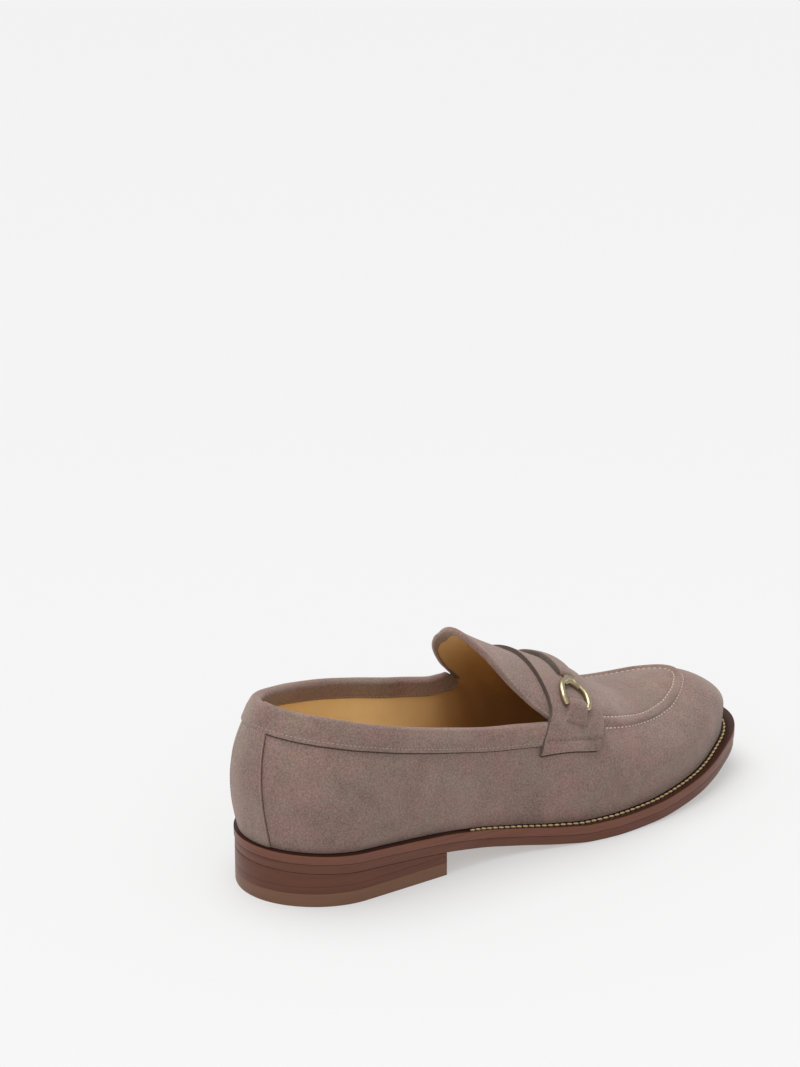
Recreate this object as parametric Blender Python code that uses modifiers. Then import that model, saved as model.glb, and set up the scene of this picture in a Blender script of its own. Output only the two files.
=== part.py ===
"""Bit loafer, size 42, the right shoe, standing on its own sole.

Tables and sizes are in millimetres, measured along the shoe from the back edge of the heel. Height is
measured from the floor. The outer side of the foot is at -Y, the inner side at +Y, and the toe points to +X.
The shapes are drawn in that frame, and to_world turns them into Blender's metres round the middle of the shoe.

The upper is a surface over a last. It is crossed by sections that start on the feather line, where upper and
welt meet, and run up to the ridge of the last. way is how far round the edge a section stands, from 0 at the
back of the heel to 1 at the toe, and rise is how far up the section a point is, from 0 to 1 at the ridge.
"""

import math

import bmesh
import bpy
import numpy as np

MM = 0.001

# Driving sizes
SOLE_LENGTH = 288.0
HEEL_LENGTH = 86.0
HEEL_ROUND = 41.0
TOE_ROUND = 60.0
TOE_SQUARENESS = 2.3
TOE_SWING = 4.0
OUTER_SWEEP = 2.2
INNER_SWEEP = 3.2
WALL = 2.2
GAP = 0.3
LAID_GAP = 0.45
BACKSTAY_GAP = 0.6

OUTSOLE_THICK = 4.6
WELT_THICK = 4.1
TOP_LIFT_THICK = 6.3
HEEL_LIFT_THICK = 3.0
HEEL_INSET = 0.4
INSOLE_RAISED = 1.6

BAND_THICK = 1.2
BAND_DEPTH = 11.5
BAND_INSIDE = 10.0
BAND_END_GAP = 1.0
BAND_GAP = 0.65
BAND_SLANT_ALONG = 118.0
BAND_STOP_ALONG = 153.5
BACKSTAY_THICK = 0.9
SADDLE_THICK = 1.6
STRAP_THICK = 2.6

RING_WIRE = 1.25
TAB_WIDTH = 11.0
TAB_LENGTH = 6.6
TAB_THICK = 1.3

APRON_HEIGHT = 1.1
APRON_HALF_WIDTH = 0.024

OUTER, INNER = -1, 1

# Half widths of the sole's edge, before its two ends are rounded
EDGE = (
    ("along", "outer", "inner"),
    (0, 37.0, 36.5),
    (40, 38.8, 38.4),
    (83, 38.6, 37.5),
    (105, 38.0, 33.5),
    (125, 40.0, 33.0),
    (145, 45.0, 38.0),
    (163, 49.8, 45.0),
    (183, 52.3, 50.0),
    (203, 52.0, 51.0),
    (220, 49.6, 49.5),
    (236, 46.3, 46.5),
    (252, 42.5, 41.5),
    (268, 39.5, 37.0),
    (288, 39.0, 36.0),
)

# Underside of the outsole
BOTTOM = (
    ("along", "height"),
    (0, 17.4),
    (83, 11.6),
    (105, 8.2),
    (130, 3.9),
    (150, 1.2),
    (166, 0.0),
    (184, 0.0),
    (210, 1.0),
    (240, 4.4),
    (265, 9.2),
    (288, 15.0),
)

# Ridge of the last over the middle of the foot. Behind the tongue it is only a guide for the quarters.
RIDGE = (
    ("along", "across", "height"),
    (0, 0.0, 128.0),
    (50, -1.0, 126.0),
    (98, -3.5, 115.0),
    (116, -3.5, 104.5),
    (130, -3.5, 96.0),
    (150, -3.0, 85.0),
    (170, -2.0, 74.5),
    (190, -0.5, 64.2),
    (208, 0.5, 55.0),
    (228, 1.8, 51.8),
    (250, 3.0, 51.1),
    (270, 4.0, 49.0),
    (290, 4.0, 43.0),
)

# Each section: where it meets the ridge, how far in from the edge it starts, and how its side swells
SECTION = (
    ("along", "ridge", "inset", "swell", "swell_height", "outer_round", "inner_round"),
    (0, 36, 2.8, 3.7, 54, 2.60, 2.60),
    (3, 37, 2.8, 3.7, 53, 2.60, 2.60),
    (10, 40, 2.9, 3.8, 52, 2.70, 2.85),
    (28, 46, 3.0, 4.0, 50, 3.10, 3.50),
    (62, 58, 3.2, 3.8, 48, 3.00, 3.00),
    (87, 74, 3.4, 3.4, 46, 2.40, 2.40),
    (116, 92, 4.2, 3.0, 42, 1.35, 1.10),
    (156, 115, 5.4, 2.6, 36, 1.00, 1.15),
    (172, 140, 5.8, 2.2, 31, 1.05, 1.00),
    (190, 163, 6.0, 2.0, 28, 1.00, 1.25),
    (215, 195, 6.0, 1.8, 27, 1.00, 1.25),
    (240, 218, 6.0, 1.5, 28, 1.25, 1.25),
    (262, 233, 6.4, 1.0, 31, 1.08, 1.08),
    (288, 242, 7.0, 0.7, 34, 0.92, 0.92),
)
SWELL_RISE = 0.16

# How far round from the back the backstay reaches, at the feather and under the collar band
BACKSTAY_WAY = 0.066
BACKSTAY_TOP_WAY = 0.048
HALVINGS = 16

TOPLINE = (
    ("along", "outer", "inner"),
    (-5, 96.0, 96.0),
    (5, 93.5, 93.5),
    (14, 91.5, 90.5),
    (30, 87.5, 87.0),
    (62, 78.0, 82.0),
    (87, 72.0, 76.5),
    (115, 66.0, 71.0),
    (150, 62.5, 65.0),
)
THROAT_ALONG = 156.0

# The tongue's edge: how far it lies ahead of its section, from the collar up to the ridge
THROAT = (
    ("rise", "ahead"),
    (0.438, 0.0),
    (0.46, 2.6),
    (0.49, 1.2),
    (0.53, -1.6),
    (0.61, -3.0),
    (0.70, -0.8),
    (0.78, 1.5),
    (0.90, 0.8),
    (1.00, 0.0),
)
THROAT_FADE = 0.08

# The raised seam of the apron: how far up each section it runs
APRON = (
    ("along", "rise"),
    (156, 0.480),
    (188, 0.512),
    (200, 0.532),
    (216, 0.580),
    (230, 0.590),
    (240, 0.603),
    (258, 0.682),
    (272, 0.752),
    (288, 0.815),
)

# The saddle's two edges: how far along the shoe they stand at each height up the side
SADDLE_EDGE = (
    ("rise", "rear", "front"),
    (0.24, 137.3, 166.5),
    (0.30, 139.0, 168.5),
    (0.44, 143.4, 174.5),
    (0.54, 146.6, 178.2),
    (0.66, 148.2, 180.5),
    (0.80, 149.0, 183.0),
    (0.92, 149.4, 185.2),
    (1.00, 149.5, 185.8),
)
WING_RISE = (0.245, 0.325)

# The strap's two edges, from the ridge down to its end at the ring
STRAP_EDGE = (
    ("rise", "rear", "front"),
    (0.74, 162.6, 171.9),
    (0.82, 163.0, 173.6),
    (0.92, 164.4, 175.5),
    (1.00, 165.5, 176.3),
)
STRAP_END = (0.790, 0.780)

# Half of the bit's ring, from its neck under the strap to the middle of its bar
RING = (
    ("across", "down"),
    (0.0, 1.3),
    (2.4, 1.6),
    (4.9, 3.0),
    (6.9, 5.4),
    (7.9, 8.6),
    (8.0, 11.4),
    (7.7, 13.4),
    (6.2, 14.9),
    (3.4, 15.2),
    (0.0, 15.2),
)
RING_STEPS = 15
RING_BAR = 15.2


def column(table, name):
    names, *rows = table
    place = names.index(name)
    return np.array([row[place] for row in rows], float)


def curve(table, name, at, key="along"):
    """Smooth curve through one column of a table, which never swings past the rows it joins."""
    x, y = column(table, key), column(table, name)
    step = np.diff(x)
    slope = np.diff(y) / step
    before, after = slope[:-1], slope[1:]
    w1, w2 = 2 * step[1:] + step[:-1], step[1:] + 2 * step[:-1]
    same = before * after > 0
    safe = np.where(same, before * after, 1.0)
    inner = np.where(same, (w1 + w2) * safe / np.where(same, w1 * after + w2 * before, 1.0), 0.0)
    tangent = np.concatenate([[slope[0]], inner, [slope[-1]]])
    at = np.asarray(at, float)
    i = np.clip(np.searchsorted(x, at) - 1, 0, len(x) - 2)
    t = np.clip((at - x[i]) / step[i], 0, 1)
    return (
        (1 + 2 * t) * (1 - t) ** 2 * y[i]
        + t * (1 - t) ** 2 * step[i] * tangent[i]
        + t * t * (3 - 2 * t) * y[i + 1]
        - t * t * (1 - t) * step[i] * tangent[i + 1]
    )


def ease(value, start, end):
    """0 before start, 1 after end, and a smooth rise between."""
    k = np.clip((np.asarray(value, float) - start) / (end - start), 0, 1)
    return k * k * (3 - 2 * k)


def middle(along):
    """The shoe's own middle line, which swings to the inner side at the toe."""
    return TOE_SWING * ease(along, 120, SOLE_LENGTH + 40) / ease(SOLE_LENGTH, 120, SOLE_LENGTH + 40)


def edge_along(way):
    return SOLE_LENGTH * (1 - np.cos(np.pi * np.asarray(way, float))) / 2


def way_at(along):
    return np.arccos(1 - 2 * np.asarray(along, float) / SOLE_LENGTH) / np.pi


def edge(way, side, inset=0.0):
    """Point in plan on the sole's edge, or inset from it."""
    way = np.asarray(way, float)

    def raw(w):
        along = edge_along(w)
        heel = np.clip(1 - along / HEEL_ROUND, 0, 1)
        toe = np.clip((along - SOLE_LENGTH + TOE_ROUND) / TOE_ROUND, 0, 1)
        rounding = (1 - heel**2) ** 0.5 * np.maximum(1 - toe**TOE_SQUARENESS, 0) ** (1 / TOE_SQUARENESS)
        rounding = np.where((w < 0) | (w > 1), -rounding, rounding)
        half = np.where(side < 0, curve(EDGE, "outer", along), curve(EDGE, "inner", along))
        return np.stack([along, middle(along) + side * half * rounding], -1)

    h = 1e-4
    tangent = raw(way + h) - raw(way - h)
    tangent /= np.linalg.norm(tangent, axis=-1, keepdims=True)
    inward = np.stack([-tangent[..., 1], tangent[..., 0]], -1) * -np.asarray(side)[..., None]
    return raw(way) + inward * np.asarray(inset, float)[..., None], inward


def bottom(along):
    return curve(BOTTOM, "height", along)


def welt_base(along):
    return bottom(along) + OUTSOLE_THICK + GAP


def welt_top(along):
    return welt_base(along) + WELT_THICK


def last(way, side, rise):
    """Point on the outside of the upper."""
    way, side, rise = np.broadcast_arrays(np.asarray(way, float), side, rise)
    along = edge_along(np.clip(way, 0, 1))
    start, inward = edge(way, side, curve(SECTION, "inset", along))
    swell = curve(SECTION, "swell", along)
    swell_height = curve(SECTION, "swell_height", along)
    shape = np.where(side < 0, curve(SECTION, "outer_round", along), curve(SECTION, "inner_round", along))
    ridge_along = curve(SECTION, "ridge", along)
    ridge = np.stack([ridge_along, curve(RIDGE, "across", ridge_along)], -1)
    low = np.clip(rise / SWELL_RISE, 0, 1)
    turn = np.clip((rise - SWELL_RISE) / (1 - SWELL_RISE), 0, 1) * np.pi / 2
    across = 1 - np.cos(turn) ** shape
    # From the waist to the toe box a section sweeps back early, so that it meets the ridge square
    sweep = np.where(side < 0, OUTER_SWEEP, INNER_SWEEP)
    sweep = 1 + (sweep - 1) * ease(along, 90, 165) * (1 - ease(along, 170, 260))
    along_part = 1 - (1 - across) ** sweep
    reach = np.stack([along_part, across], -1) * (ridge - start)
    out = np.where(rise < SWELL_RISE, np.sin(low * np.pi / 2), 1 - across) * swell
    plan = start + reach - inward * out[..., None]
    feather = welt_top(start[..., 0]) + GAP
    top = curve(RIDGE, "height", plan[..., 0])
    height = np.where(
        rise < SWELL_RISE,
        feather + (swell_height - feather) * low,
        swell_height + (top - swell_height) * np.sin(turn),
    )
    return np.concatenate([plan, height[..., None]], -1)


def outward(way, side, rise):
    """Unit normal of the upper's outside."""
    way, side, rise = np.broadcast_arrays(np.asarray(way, float), side, rise)
    h = 1e-3
    rise = np.clip(rise, h, 1 - 2 * h)
    across = last(way, side, rise + h) - last(way, side, rise - h)
    round_it = last(way + h, side, rise) - last(way - h, side, rise)
    normal = np.cross(round_it, across) * side[..., None] * -1
    return normal / np.linalg.norm(normal, axis=-1, keepdims=True)


def over(way, side, rise, lift):
    """Point that stands off the upper's outside by lift."""
    return last(way, side, rise) + outward(way, side, rise) * np.asarray(lift, float)[..., None]


def rise_at(way, side, height):
    """How far up its section a point of this height is."""
    way, side, height = np.broadcast_arrays(np.asarray(way, float), side, height)
    low, high = np.zeros(way.shape), np.ones(way.shape)
    for _ in range(HALVINGS):
        mid = (low + high) / 2
        under = last(way, side, mid)[..., 2] < height
        low, high = np.where(under, mid, low), np.where(under, high, mid)
    return (low + high) / 2


def way_over(along, side, rise):
    """The section on which a point of this rise stands this far along the shoe."""
    along, side, rise = np.broadcast_arrays(np.asarray(along, float), side, rise)
    low, high = np.zeros(along.shape), np.ones(along.shape)
    for _ in range(HALVINGS + 4):
        mid = (low + high) / 2
        short = last(mid, side, rise)[..., 0] < along
        low, high = np.where(short, mid, low), np.where(short, high, mid)
    return (low + high) / 2


def topline_rise(way, side):
    """How far up its section the topline crosses it."""
    way, side = np.broadcast_arrays(np.asarray(way, float), side)
    low, high = np.full(way.shape, SWELL_RISE), np.full(way.shape, 0.9)
    for _ in range(HALVINGS):
        mid = (low + high) / 2
        point = last(way, side, mid)
        outer, inner = curve(TOPLINE, "outer", point[..., 0]), curve(TOPLINE, "inner", point[..., 0])
        goal = np.where(side < 0, outer, inner)
        under = point[..., 2] < goal
        low, high = np.where(under, mid, low), np.where(under, high, mid)
    return (low + high) / 2


def to_world(points):
    """Shoe's own millimetres to Blender's metres, with the middle of the shoe's box over the origin."""
    ways = np.linspace(0, 1, 400)
    outer, inner = edge(ways, OUTER)[0], edge(ways, INNER)[0]
    back = last(0.0, OUTER, np.linspace(0, 0.5, 200)) - [BACKSTAY_THICK + BACKSTAY_GAP, 0, 0]
    middle_along = (SOLE_LENGTH + back[:, 0].min()) / 2
    middle_across = (outer[:, 1].min() + inner[:, 1].max()) / 2
    return (np.asarray(points, float) - [middle_along, middle_across, 0]) * MM


def mesh_object(name, points, faces, material):
    mesh = bpy.data.meshes.new(name)
    mesh.from_pydata([tuple(p) for p in to_world(points)], [], faces)
    work = bmesh.new()
    work.from_mesh(mesh)
    bmesh.ops.remove_doubles(work, verts=work.verts, dist=1e-6)
    bmesh.ops.dissolve_degenerate(work, edges=work.edges, dist=1e-6)
    bmesh.ops.recalc_face_normals(work, faces=work.faces)
    work.to_mesh(mesh)
    work.free()
    mesh.materials.append(material)
    mesh.shade_smooth()
    mesh.set_sharp_from_angle(angle=math.radians(40))
    thing = bpy.data.objects.new(name, mesh)
    parts.objects.link(thing)
    return thing


def block(name, low, high, material):
    """Closed solid between two grids of points, which have the same rows and columns."""
    rows, columns = low.shape[:2]
    points = np.concatenate([low.reshape(-1, 3), high.reshape(-1, 3)])
    lift = rows * columns
    faces = []
    for i in range(rows - 1):
        for j in range(columns - 1):
            a, b, c, d = (i * columns + j, i * columns + j + 1, (i + 1) * columns + j + 1, (i + 1) * columns + j)
            faces += [(a, b, c, d), (d + lift, c + lift, b + lift, a + lift)]
    rim = [i * columns for i in range(rows)]
    rim += [(rows - 1) * columns + j for j in range(1, columns)]
    rim += [i * columns + columns - 1 for i in range(rows - 2, -1, -1)]
    rim += [j for j in range(columns - 2, 0, -1)]
    for a, b in zip(rim, rim[1:] + rim[:1]):
        faces.append((a, b, b + lift, a + lift))
    return mesh_object(name, points, faces, material)


def swept(name, loops, material, ring=False):
    """Closed solid through a row of loops of points, capped at its ends unless it runs in a ring."""
    count, size = loops.shape[:2]
    faces = []
    for i in range(count if ring else count - 1):
        here, there = i * size, (i + 1) % count * size
        for j in range(size):
            k = (j + 1) % size
            faces.append((here + j, here + k, there + k, there + j))
    if not ring:
        faces += [tuple(range(size)), tuple(range((count - 1) * size + size - 1, (count - 1) * size - 1, -1))]
    return mesh_object(name, loops.reshape(-1, 3), faces, material)


def plate(name, ways, inset, low, high, material, rows=2):
    """Flat strips from the outer to the inner edge, between two heights that depend only on along."""
    across = np.linspace(0, 1, rows)[:, None, None]
    outer, inner = edge(ways, OUTER, inset)[0], edge(ways, INNER, inset)[0]
    plan = outer * (1 - across) + inner * across
    under = np.concatenate([plan, low(plan[..., 0])[..., None]], -1)
    above = np.concatenate([plan, high(plan[..., 0])[..., None]], -1)
    return block(name, under, above, material)


def material(name, colour, roughness, metallic=0.0):
    made = bpy.data.materials.new(name)
    made.use_nodes = True
    shader = made.node_tree.nodes["Principled BSDF"]
    shader.inputs["Base Color"].default_value = (*colour, 1)
    shader.inputs["Roughness"].default_value = roughness
    shader.inputs["Metallic"].default_value = metallic
    return made


# Sole


def make_sole(leather, dark):
    ways = np.linspace(0, 1, 45)
    plate("outsole", ways, 0.5, bottom, lambda a: bottom(a) + OUTSOLE_THICK, leather)
    around = np.concatenate([ways[:-1], ways[::-1][:-1]])
    sides = np.concatenate([np.full(len(ways) - 1, OUTER), np.full(len(ways) - 1, INNER)])
    wall_inset = curve(SECTION, "inset", edge_along(around)) + WALL
    outside, inside = edge(around, sides)[0], edge(around, sides, wall_inset)[0]
    loops = []
    for plan, height in ((outside, welt_base), (outside, welt_top), (inside, welt_top), (inside, welt_base)):
        loops.append(np.concatenate([plan, height(plan[:, 0])[:, None]], -1))
    swept("welt", np.stack(loops, 1), dark, ring=True)


def level(height):
    """A height that is the same all along the shoe."""
    return lambda along: np.full(np.shape(along), height)


def make_heel(leather, top_leather):
    ways = np.linspace(0, float(way_at(HEEL_LENGTH)), 20)
    lift_base = TOP_LIFT_THICK + GAP
    wedge_base = lift_base + HEEL_LIFT_THICK + GAP
    plate("top_lift", ways, HEEL_INSET, level(0.0), level(TOP_LIFT_THICK), top_leather)
    plate("heel_lift", ways, HEEL_INSET, level(lift_base), level(lift_base + HEEL_LIFT_THICK), leather)
    plate("heel_wedge", ways, HEEL_INSET, level(wedge_base), lambda a: bottom(a) - GAP, leather)


def make_insole(tan):
    ways = np.linspace(0.0, 1, 33)
    inset = curve(SECTION, "inset", edge_along(ways)) + WALL + 0.6
    plate("insole", ways, inset, welt_base, lambda a: welt_top(a) + INSOLE_RAISED, tan)


# Upper


def bump(way, rise):
    """Height of the apron's raised seam over the plain wall."""
    along = edge_along(way)
    off = (rise - curve(APRON, "rise", along)) / APRON_HALF_WIDTH
    return APRON_HEIGHT * np.maximum(1 - off**2, 0) * ease(along, 190, 197)


def upper_rises(way, side, throat_rise):
    """The rows of points up one section."""
    along = float(edge_along(way))
    quarter = along < THROAT_ALONG - 1e-6
    if quarter:
        top = float(cut_rise(way, side))
        return np.concatenate([np.linspace(0, SWELL_RISE, 4)[:-1], np.linspace(SWELL_RISE, top, 9)])
    seam = float(curve(APRON, "rise", along))
    blend = float(ease(along, THROAT_ALONG, THROAT_ALONG + 24))
    low = throat_rise * (1 - blend) + (seam - APRON_HALF_WIDTH) * blend
    high = seam + APRON_HALF_WIDTH
    rows = [np.linspace(0, SWELL_RISE, 4)[:-1], np.linspace(SWELL_RISE, low, 9), [(low + high) / 2, high]]
    rows.append(high + (1 - high) * np.linspace(0, 1, 8)[1:])
    return np.concatenate(rows)


def with_throat(way, rise):
    """Moves the sections near the tongue's edge so that the edge follows its own curve."""
    throat = float(way_at(THROAT_ALONG))
    ahead = curve(THROAT, "ahead", rise, key="rise") / (np.pi / 2 * SOLE_LENGTH)
    return way + np.where(way >= throat, ahead * (1 - ease(way, throat, throat + THROAT_FADE)), 0)


def quarter_ways():
    """Sections of the quarter, from the back of the heel to the throat."""
    heel_ways = np.linspace(0, BACKSTAY_WAY, 5)
    return np.concatenate([heel_ways, np.linspace(BACKSTAY_WAY, float(way_at(THROAT_ALONG)), 15)[1:]])


def cut_rise(way, side):
    """Where the upper's wall ends under the fold of the collar band."""
    top = last(way, side, topline_rise(way, side))[..., 2]
    return rise_at(way, side, top - BAND_THICK - GAP)


def make_upper(suede):
    throat = float(way_at(THROAT_ALONG))
    ways = np.concatenate([quarter_ways(), np.linspace(throat, 1, 20)[1:]])
    points, faces = [], []
    for side in (OUTER, INNER):
        throat_rise = float(cut_rise(throat, side))
        rows = [upper_rises(way, side, throat_rise) for way in ways]
        start = len(points) + np.cumsum([0] + [len(row) for row in rows])
        way, rise = np.repeat(ways, [len(row) for row in rows]), np.concatenate(rows)
        # The two sides share their first section and the toe's
        drawn_side = np.where((way == 0) | (way == 1), OUTER, side)
        points.extend(over(with_throat(way, rise), drawn_side, rise, bump(way, rise)))
        for i in range(len(ways) - 1):
            for j in range(min(len(rows[i]), len(rows[i + 1])) - 1):
                here, there = start[i] + j, start[i + 1] + j
                faces.append((here, there, there + 1, here + 1))
    shell = mesh_object("upper", np.array(points), faces, suede)
    wall = shell.modifiers.new("wall", "SOLIDIFY")
    wall.thickness = WALL * MM
    wall.offset = -1
    wall.use_even_offset = True
    return shell


# Overlays


def band_points(home, side, drop, lift):
    """Points of the collar band, drop below the topline and lift off the wall, with its ends cut to the saddle."""
    throat, slanted = float(way_at(THROAT_ALONG)), float(way_at(BAND_SLANT_ALONG))
    stop = float(way_at(BAND_STOP_ALONG))
    home, side, drop, lift = np.broadcast_arrays(home, side, drop, lift)
    way = home
    for _ in range(3):
        top = last(way, side, topline_rise(way, side))[..., 2]
        rise = rise_at(way, side, top - drop)
        end = way_over(curve(SADDLE_EDGE, "rear", rise, key="rise") - BAND_END_GAP, side, rise)
        share = np.maximum(home - slanted, 0) / (throat - slanted)
        way = np.minimum(home, slanted) + share * (np.minimum(end, stop) - slanted)
    return over(way, side, rise, lift)


def make_collar_band(suede):
    inside = -WALL - BAND_GAP
    profile = (
        (BAND_DEPTH, BAND_GAP),
        (BAND_DEPTH, BAND_GAP + BAND_THICK),
        (BAND_DEPTH / 2, BAND_GAP + BAND_THICK + 0.2),
        (1.0, BAND_GAP + BAND_THICK),
        (0.0, 0.2),
        (0.0, -WALL - 0.2),
        (1.0, inside - BAND_THICK),
        (BAND_INSIDE, inside - BAND_THICK),
        (BAND_INSIDE, inside),
        (BAND_THICK, inside),
        (BAND_THICK, BAND_GAP),
    )
    ways = quarter_ways()
    home = np.concatenate([ways[::-1], ways[1:]])[:, None]
    side = np.where(np.arange(len(home)) < len(ways), OUTER, INNER)[:, None]
    drop, lift = np.array(profile).T
    loops = band_points(home, side, drop, lift)
    swept("collar_band", loops, suede)


def make_backstay(suede):
    turn = np.linspace(-1, 1, 11)
    rows = []
    for share in np.linspace(0, 1, 11):
        half = BACKSTAY_WAY * (1 - share) + BACKSTAY_TOP_WAY * share
        way, side = np.abs(turn) * half, np.where(turn > 0, INNER, OUTER)
        top = last(way, side, topline_rise(way, side))[..., 2] - BAND_DEPTH - 0.6
        rows.append((way, side, 0.004 + (rise_at(way, side, top) - 0.004) * share))
    way, side, rise = (np.stack(part) for part in zip(*rows))
    low = over(way, side, rise, BACKSTAY_GAP)
    block("backstay", low, over(way, side, rise, BACKSTAY_GAP + BACKSTAY_THICK), suede)


def across_ridge(table, ends, columns, rows):
    """Grid over the instep: way, side and rise from the outer end over the ridge to the inner end."""
    share = np.linspace(0, 1, columns)[:, None]
    turn = np.linspace(-1, 1, rows)[None, :]
    end = ends[0] * (1 - share) + ends[1] * share
    rise = 1 - np.abs(turn) * (1 - end)
    rear, front = curve(table, "rear", rise, key="rise"), curve(table, "front", rise, key="rise")
    side = np.where(turn > 0, INNER, OUTER) + np.zeros(share.shape, int)
    way = way_over(rear * (1 - share) + front * share, side, rise)
    return way, side, rise, share + np.zeros_like(turn)


def make_saddle(suede):
    way, side, rise, _ = across_ridge(SADDLE_EDGE, WING_RISE, 7, 27)
    low = over(way, side, rise, LAID_GAP)
    high = over(way, side, rise, LAID_GAP + SADDLE_THICK)
    block("saddle", low, high, suede)


def make_bit_strap(suede):
    way, side, rise, share = across_ridge(STRAP_EDGE, STRAP_END, 5, 11)
    base = SADDLE_THICK + 2 * LAID_GAP
    puff = STRAP_THICK * (0.45 + 0.55 * np.sqrt(np.maximum(1 - (2 * share - 1) ** 2, 0)))
    block("bit_strap", over(way, side, rise, base), over(way, side, rise, base + puff), suede)


RING_HOME = (188.5, 0.752)
RING_HEADING = (-0.26, 0.88, -0.38)


def ring_patch(side):
    """Function that lays a flat sketch, across and down from the ring's neck, on the side of the upper."""
    along, rise = RING_HOME
    way = float(way_at(along))
    home, up = last(way, side, rise), outward(way, side, rise)
    down = np.array(RING_HEADING) * [1, side, 1]
    down = down - up * (down @ up)
    down /= np.linalg.norm(down)
    forward = np.cross(up, down)
    forward *= np.sign(forward[0])

    def place(across, drop, lift):
        spot = np.array([way, rise])
        for _ in range(6):
            point = last(spot[0], side, spot[1])
            step = 1e-4
            turn = np.stack([
                (last(spot[0] + step, side, spot[1]) - point) / step,
                (last(spot[0], side, spot[1] - step) - point) / -step,
            ], 1)
            flat = np.stack([forward, down])
            missing = np.array([across, drop]) - flat @ (point - home)
            spot = spot + np.linalg.solve(flat @ turn, missing)
        return over(spot[0], side, spot[1], lift)

    return place


def ring_lift():
    return SADDLE_THICK + 2 * LAID_GAP + RING_WIRE


def make_ring(name, side, brass):
    place = ring_patch(side)
    key = np.linspace(0, 1, len(RING) - 1)
    outline = (("step", "across", "down"), *((k, *row) for k, row in zip(key, RING[1:])))
    steps = np.linspace(0, 1, RING_STEPS)
    half = [(float(curve(outline, "across", t, "step")), float(curve(outline, "down", t, "step"))) for t in steps]
    sketch = half + [(-across, down) for across, down in half[-2:0:-1]]
    points = to_world([place(across, down, ring_lift()) for across, down in sketch])
    wire = bpy.data.curves.new(name, "CURVE")
    wire.dimensions = "3D"
    wire.bevel_depth = RING_WIRE * MM
    wire.bevel_resolution = 2
    line = wire.splines.new("POLY")
    line.points.add(len(points) - 1)
    for spot, point in zip(line.points, points):
        spot.co = (*point, 1)
    line.use_cyclic_u = True
    wire.materials.append(brass)
    parts.objects.link(bpy.data.objects.new(name, wire))


def make_tab(name, side, suede):
    """Tab folded over the ring's bar, with its tail stitched to the wing."""
    place = ring_patch(side)
    base, centre = SADDLE_THICK + 2 * LAID_GAP, ring_lift()
    inside, outside = RING_WIRE + LAID_GAP, RING_WIRE + LAID_GAP + TAB_THICK
    turn = np.linspace(0, np.pi, 7)
    profile = [(TAB_LENGTH, base), (inside + 0.2, base)]
    profile += [(inside * np.cos(t), centre + inside * np.sin(t)) for t in turn]
    profile += [(-inside, base), (-outside, base)]
    profile += [(outside * np.cos(t), centre + outside * np.sin(t)) for t in turn[::-1][:-1]]
    profile += [(outside + 1.8, base + TAB_THICK + 0.6), (TAB_LENGTH, base + TAB_THICK)]
    across = np.linspace(-TAB_WIDTH / 2, TAB_WIDTH / 2, 7)
    loops = [[place(a, RING_BAR + down, lift) for down, lift in profile] for a in across]
    swept(name, np.array(loops), suede)


def build():
    suede = material("taupe_suede", (0.24, 0.175, 0.145), 0.9)
    tan = material("tan_leather", (0.55, 0.35, 0.16), 0.6)
    brown = material("sole_leather", (0.17, 0.07, 0.04), 0.5)
    dark = material("welt_leather", (0.10, 0.04, 0.025), 0.5)
    pale = material("top_lift_leather", (0.20, 0.11, 0.07), 0.6)
    brass = material("brass", (0.52, 0.38, 0.15), 0.3, 1.0)
    make_sole(brown, dark)
    make_heel(brown, pale)
    make_insole(tan)
    make_upper(suede)
    make_collar_band(suede)
    make_backstay(suede)
    make_saddle(suede)
    make_bit_strap(suede)
    for side, word in ((OUTER, "outer"), (INNER, "inner")):
        make_ring("bit_ring_" + word, side, brass)
        make_tab("tab_" + word, side, suede)


for thing in list(bpy.data.objects):
    bpy.data.objects.remove(thing, do_unlink=True)
parts = bpy.data.collections.new("bit_loafer")
bpy.context.scene.collection.children.link(parts)
build()
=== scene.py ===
import math

import bpy
import numpy as np
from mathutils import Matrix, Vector


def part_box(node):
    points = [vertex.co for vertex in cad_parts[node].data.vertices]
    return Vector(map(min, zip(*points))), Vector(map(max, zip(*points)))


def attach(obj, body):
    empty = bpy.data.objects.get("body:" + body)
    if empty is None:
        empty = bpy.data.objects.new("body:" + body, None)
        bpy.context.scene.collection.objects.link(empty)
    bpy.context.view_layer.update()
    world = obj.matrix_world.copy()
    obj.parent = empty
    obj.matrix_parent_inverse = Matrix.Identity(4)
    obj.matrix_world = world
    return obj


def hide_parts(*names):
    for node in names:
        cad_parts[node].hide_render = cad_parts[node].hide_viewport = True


bl_info = {
    "name": "Bit Loafer",
    "version": (1, 0, 0),
    "blender": (4, 5, 0),
    "location": "3D View > Sidebar > Loafer",
    "description": "Makes a suede bit loafer piece by piece over its solid model",
    "category": "Add Mesh",
}

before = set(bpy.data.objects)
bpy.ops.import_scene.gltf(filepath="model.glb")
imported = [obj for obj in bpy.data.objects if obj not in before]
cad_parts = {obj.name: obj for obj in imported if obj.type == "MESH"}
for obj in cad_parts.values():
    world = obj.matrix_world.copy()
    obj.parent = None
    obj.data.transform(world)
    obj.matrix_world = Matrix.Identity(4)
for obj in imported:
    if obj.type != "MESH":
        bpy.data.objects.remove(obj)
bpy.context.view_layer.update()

MM = 0.001
OUTER, INNER = -1, 1

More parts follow.
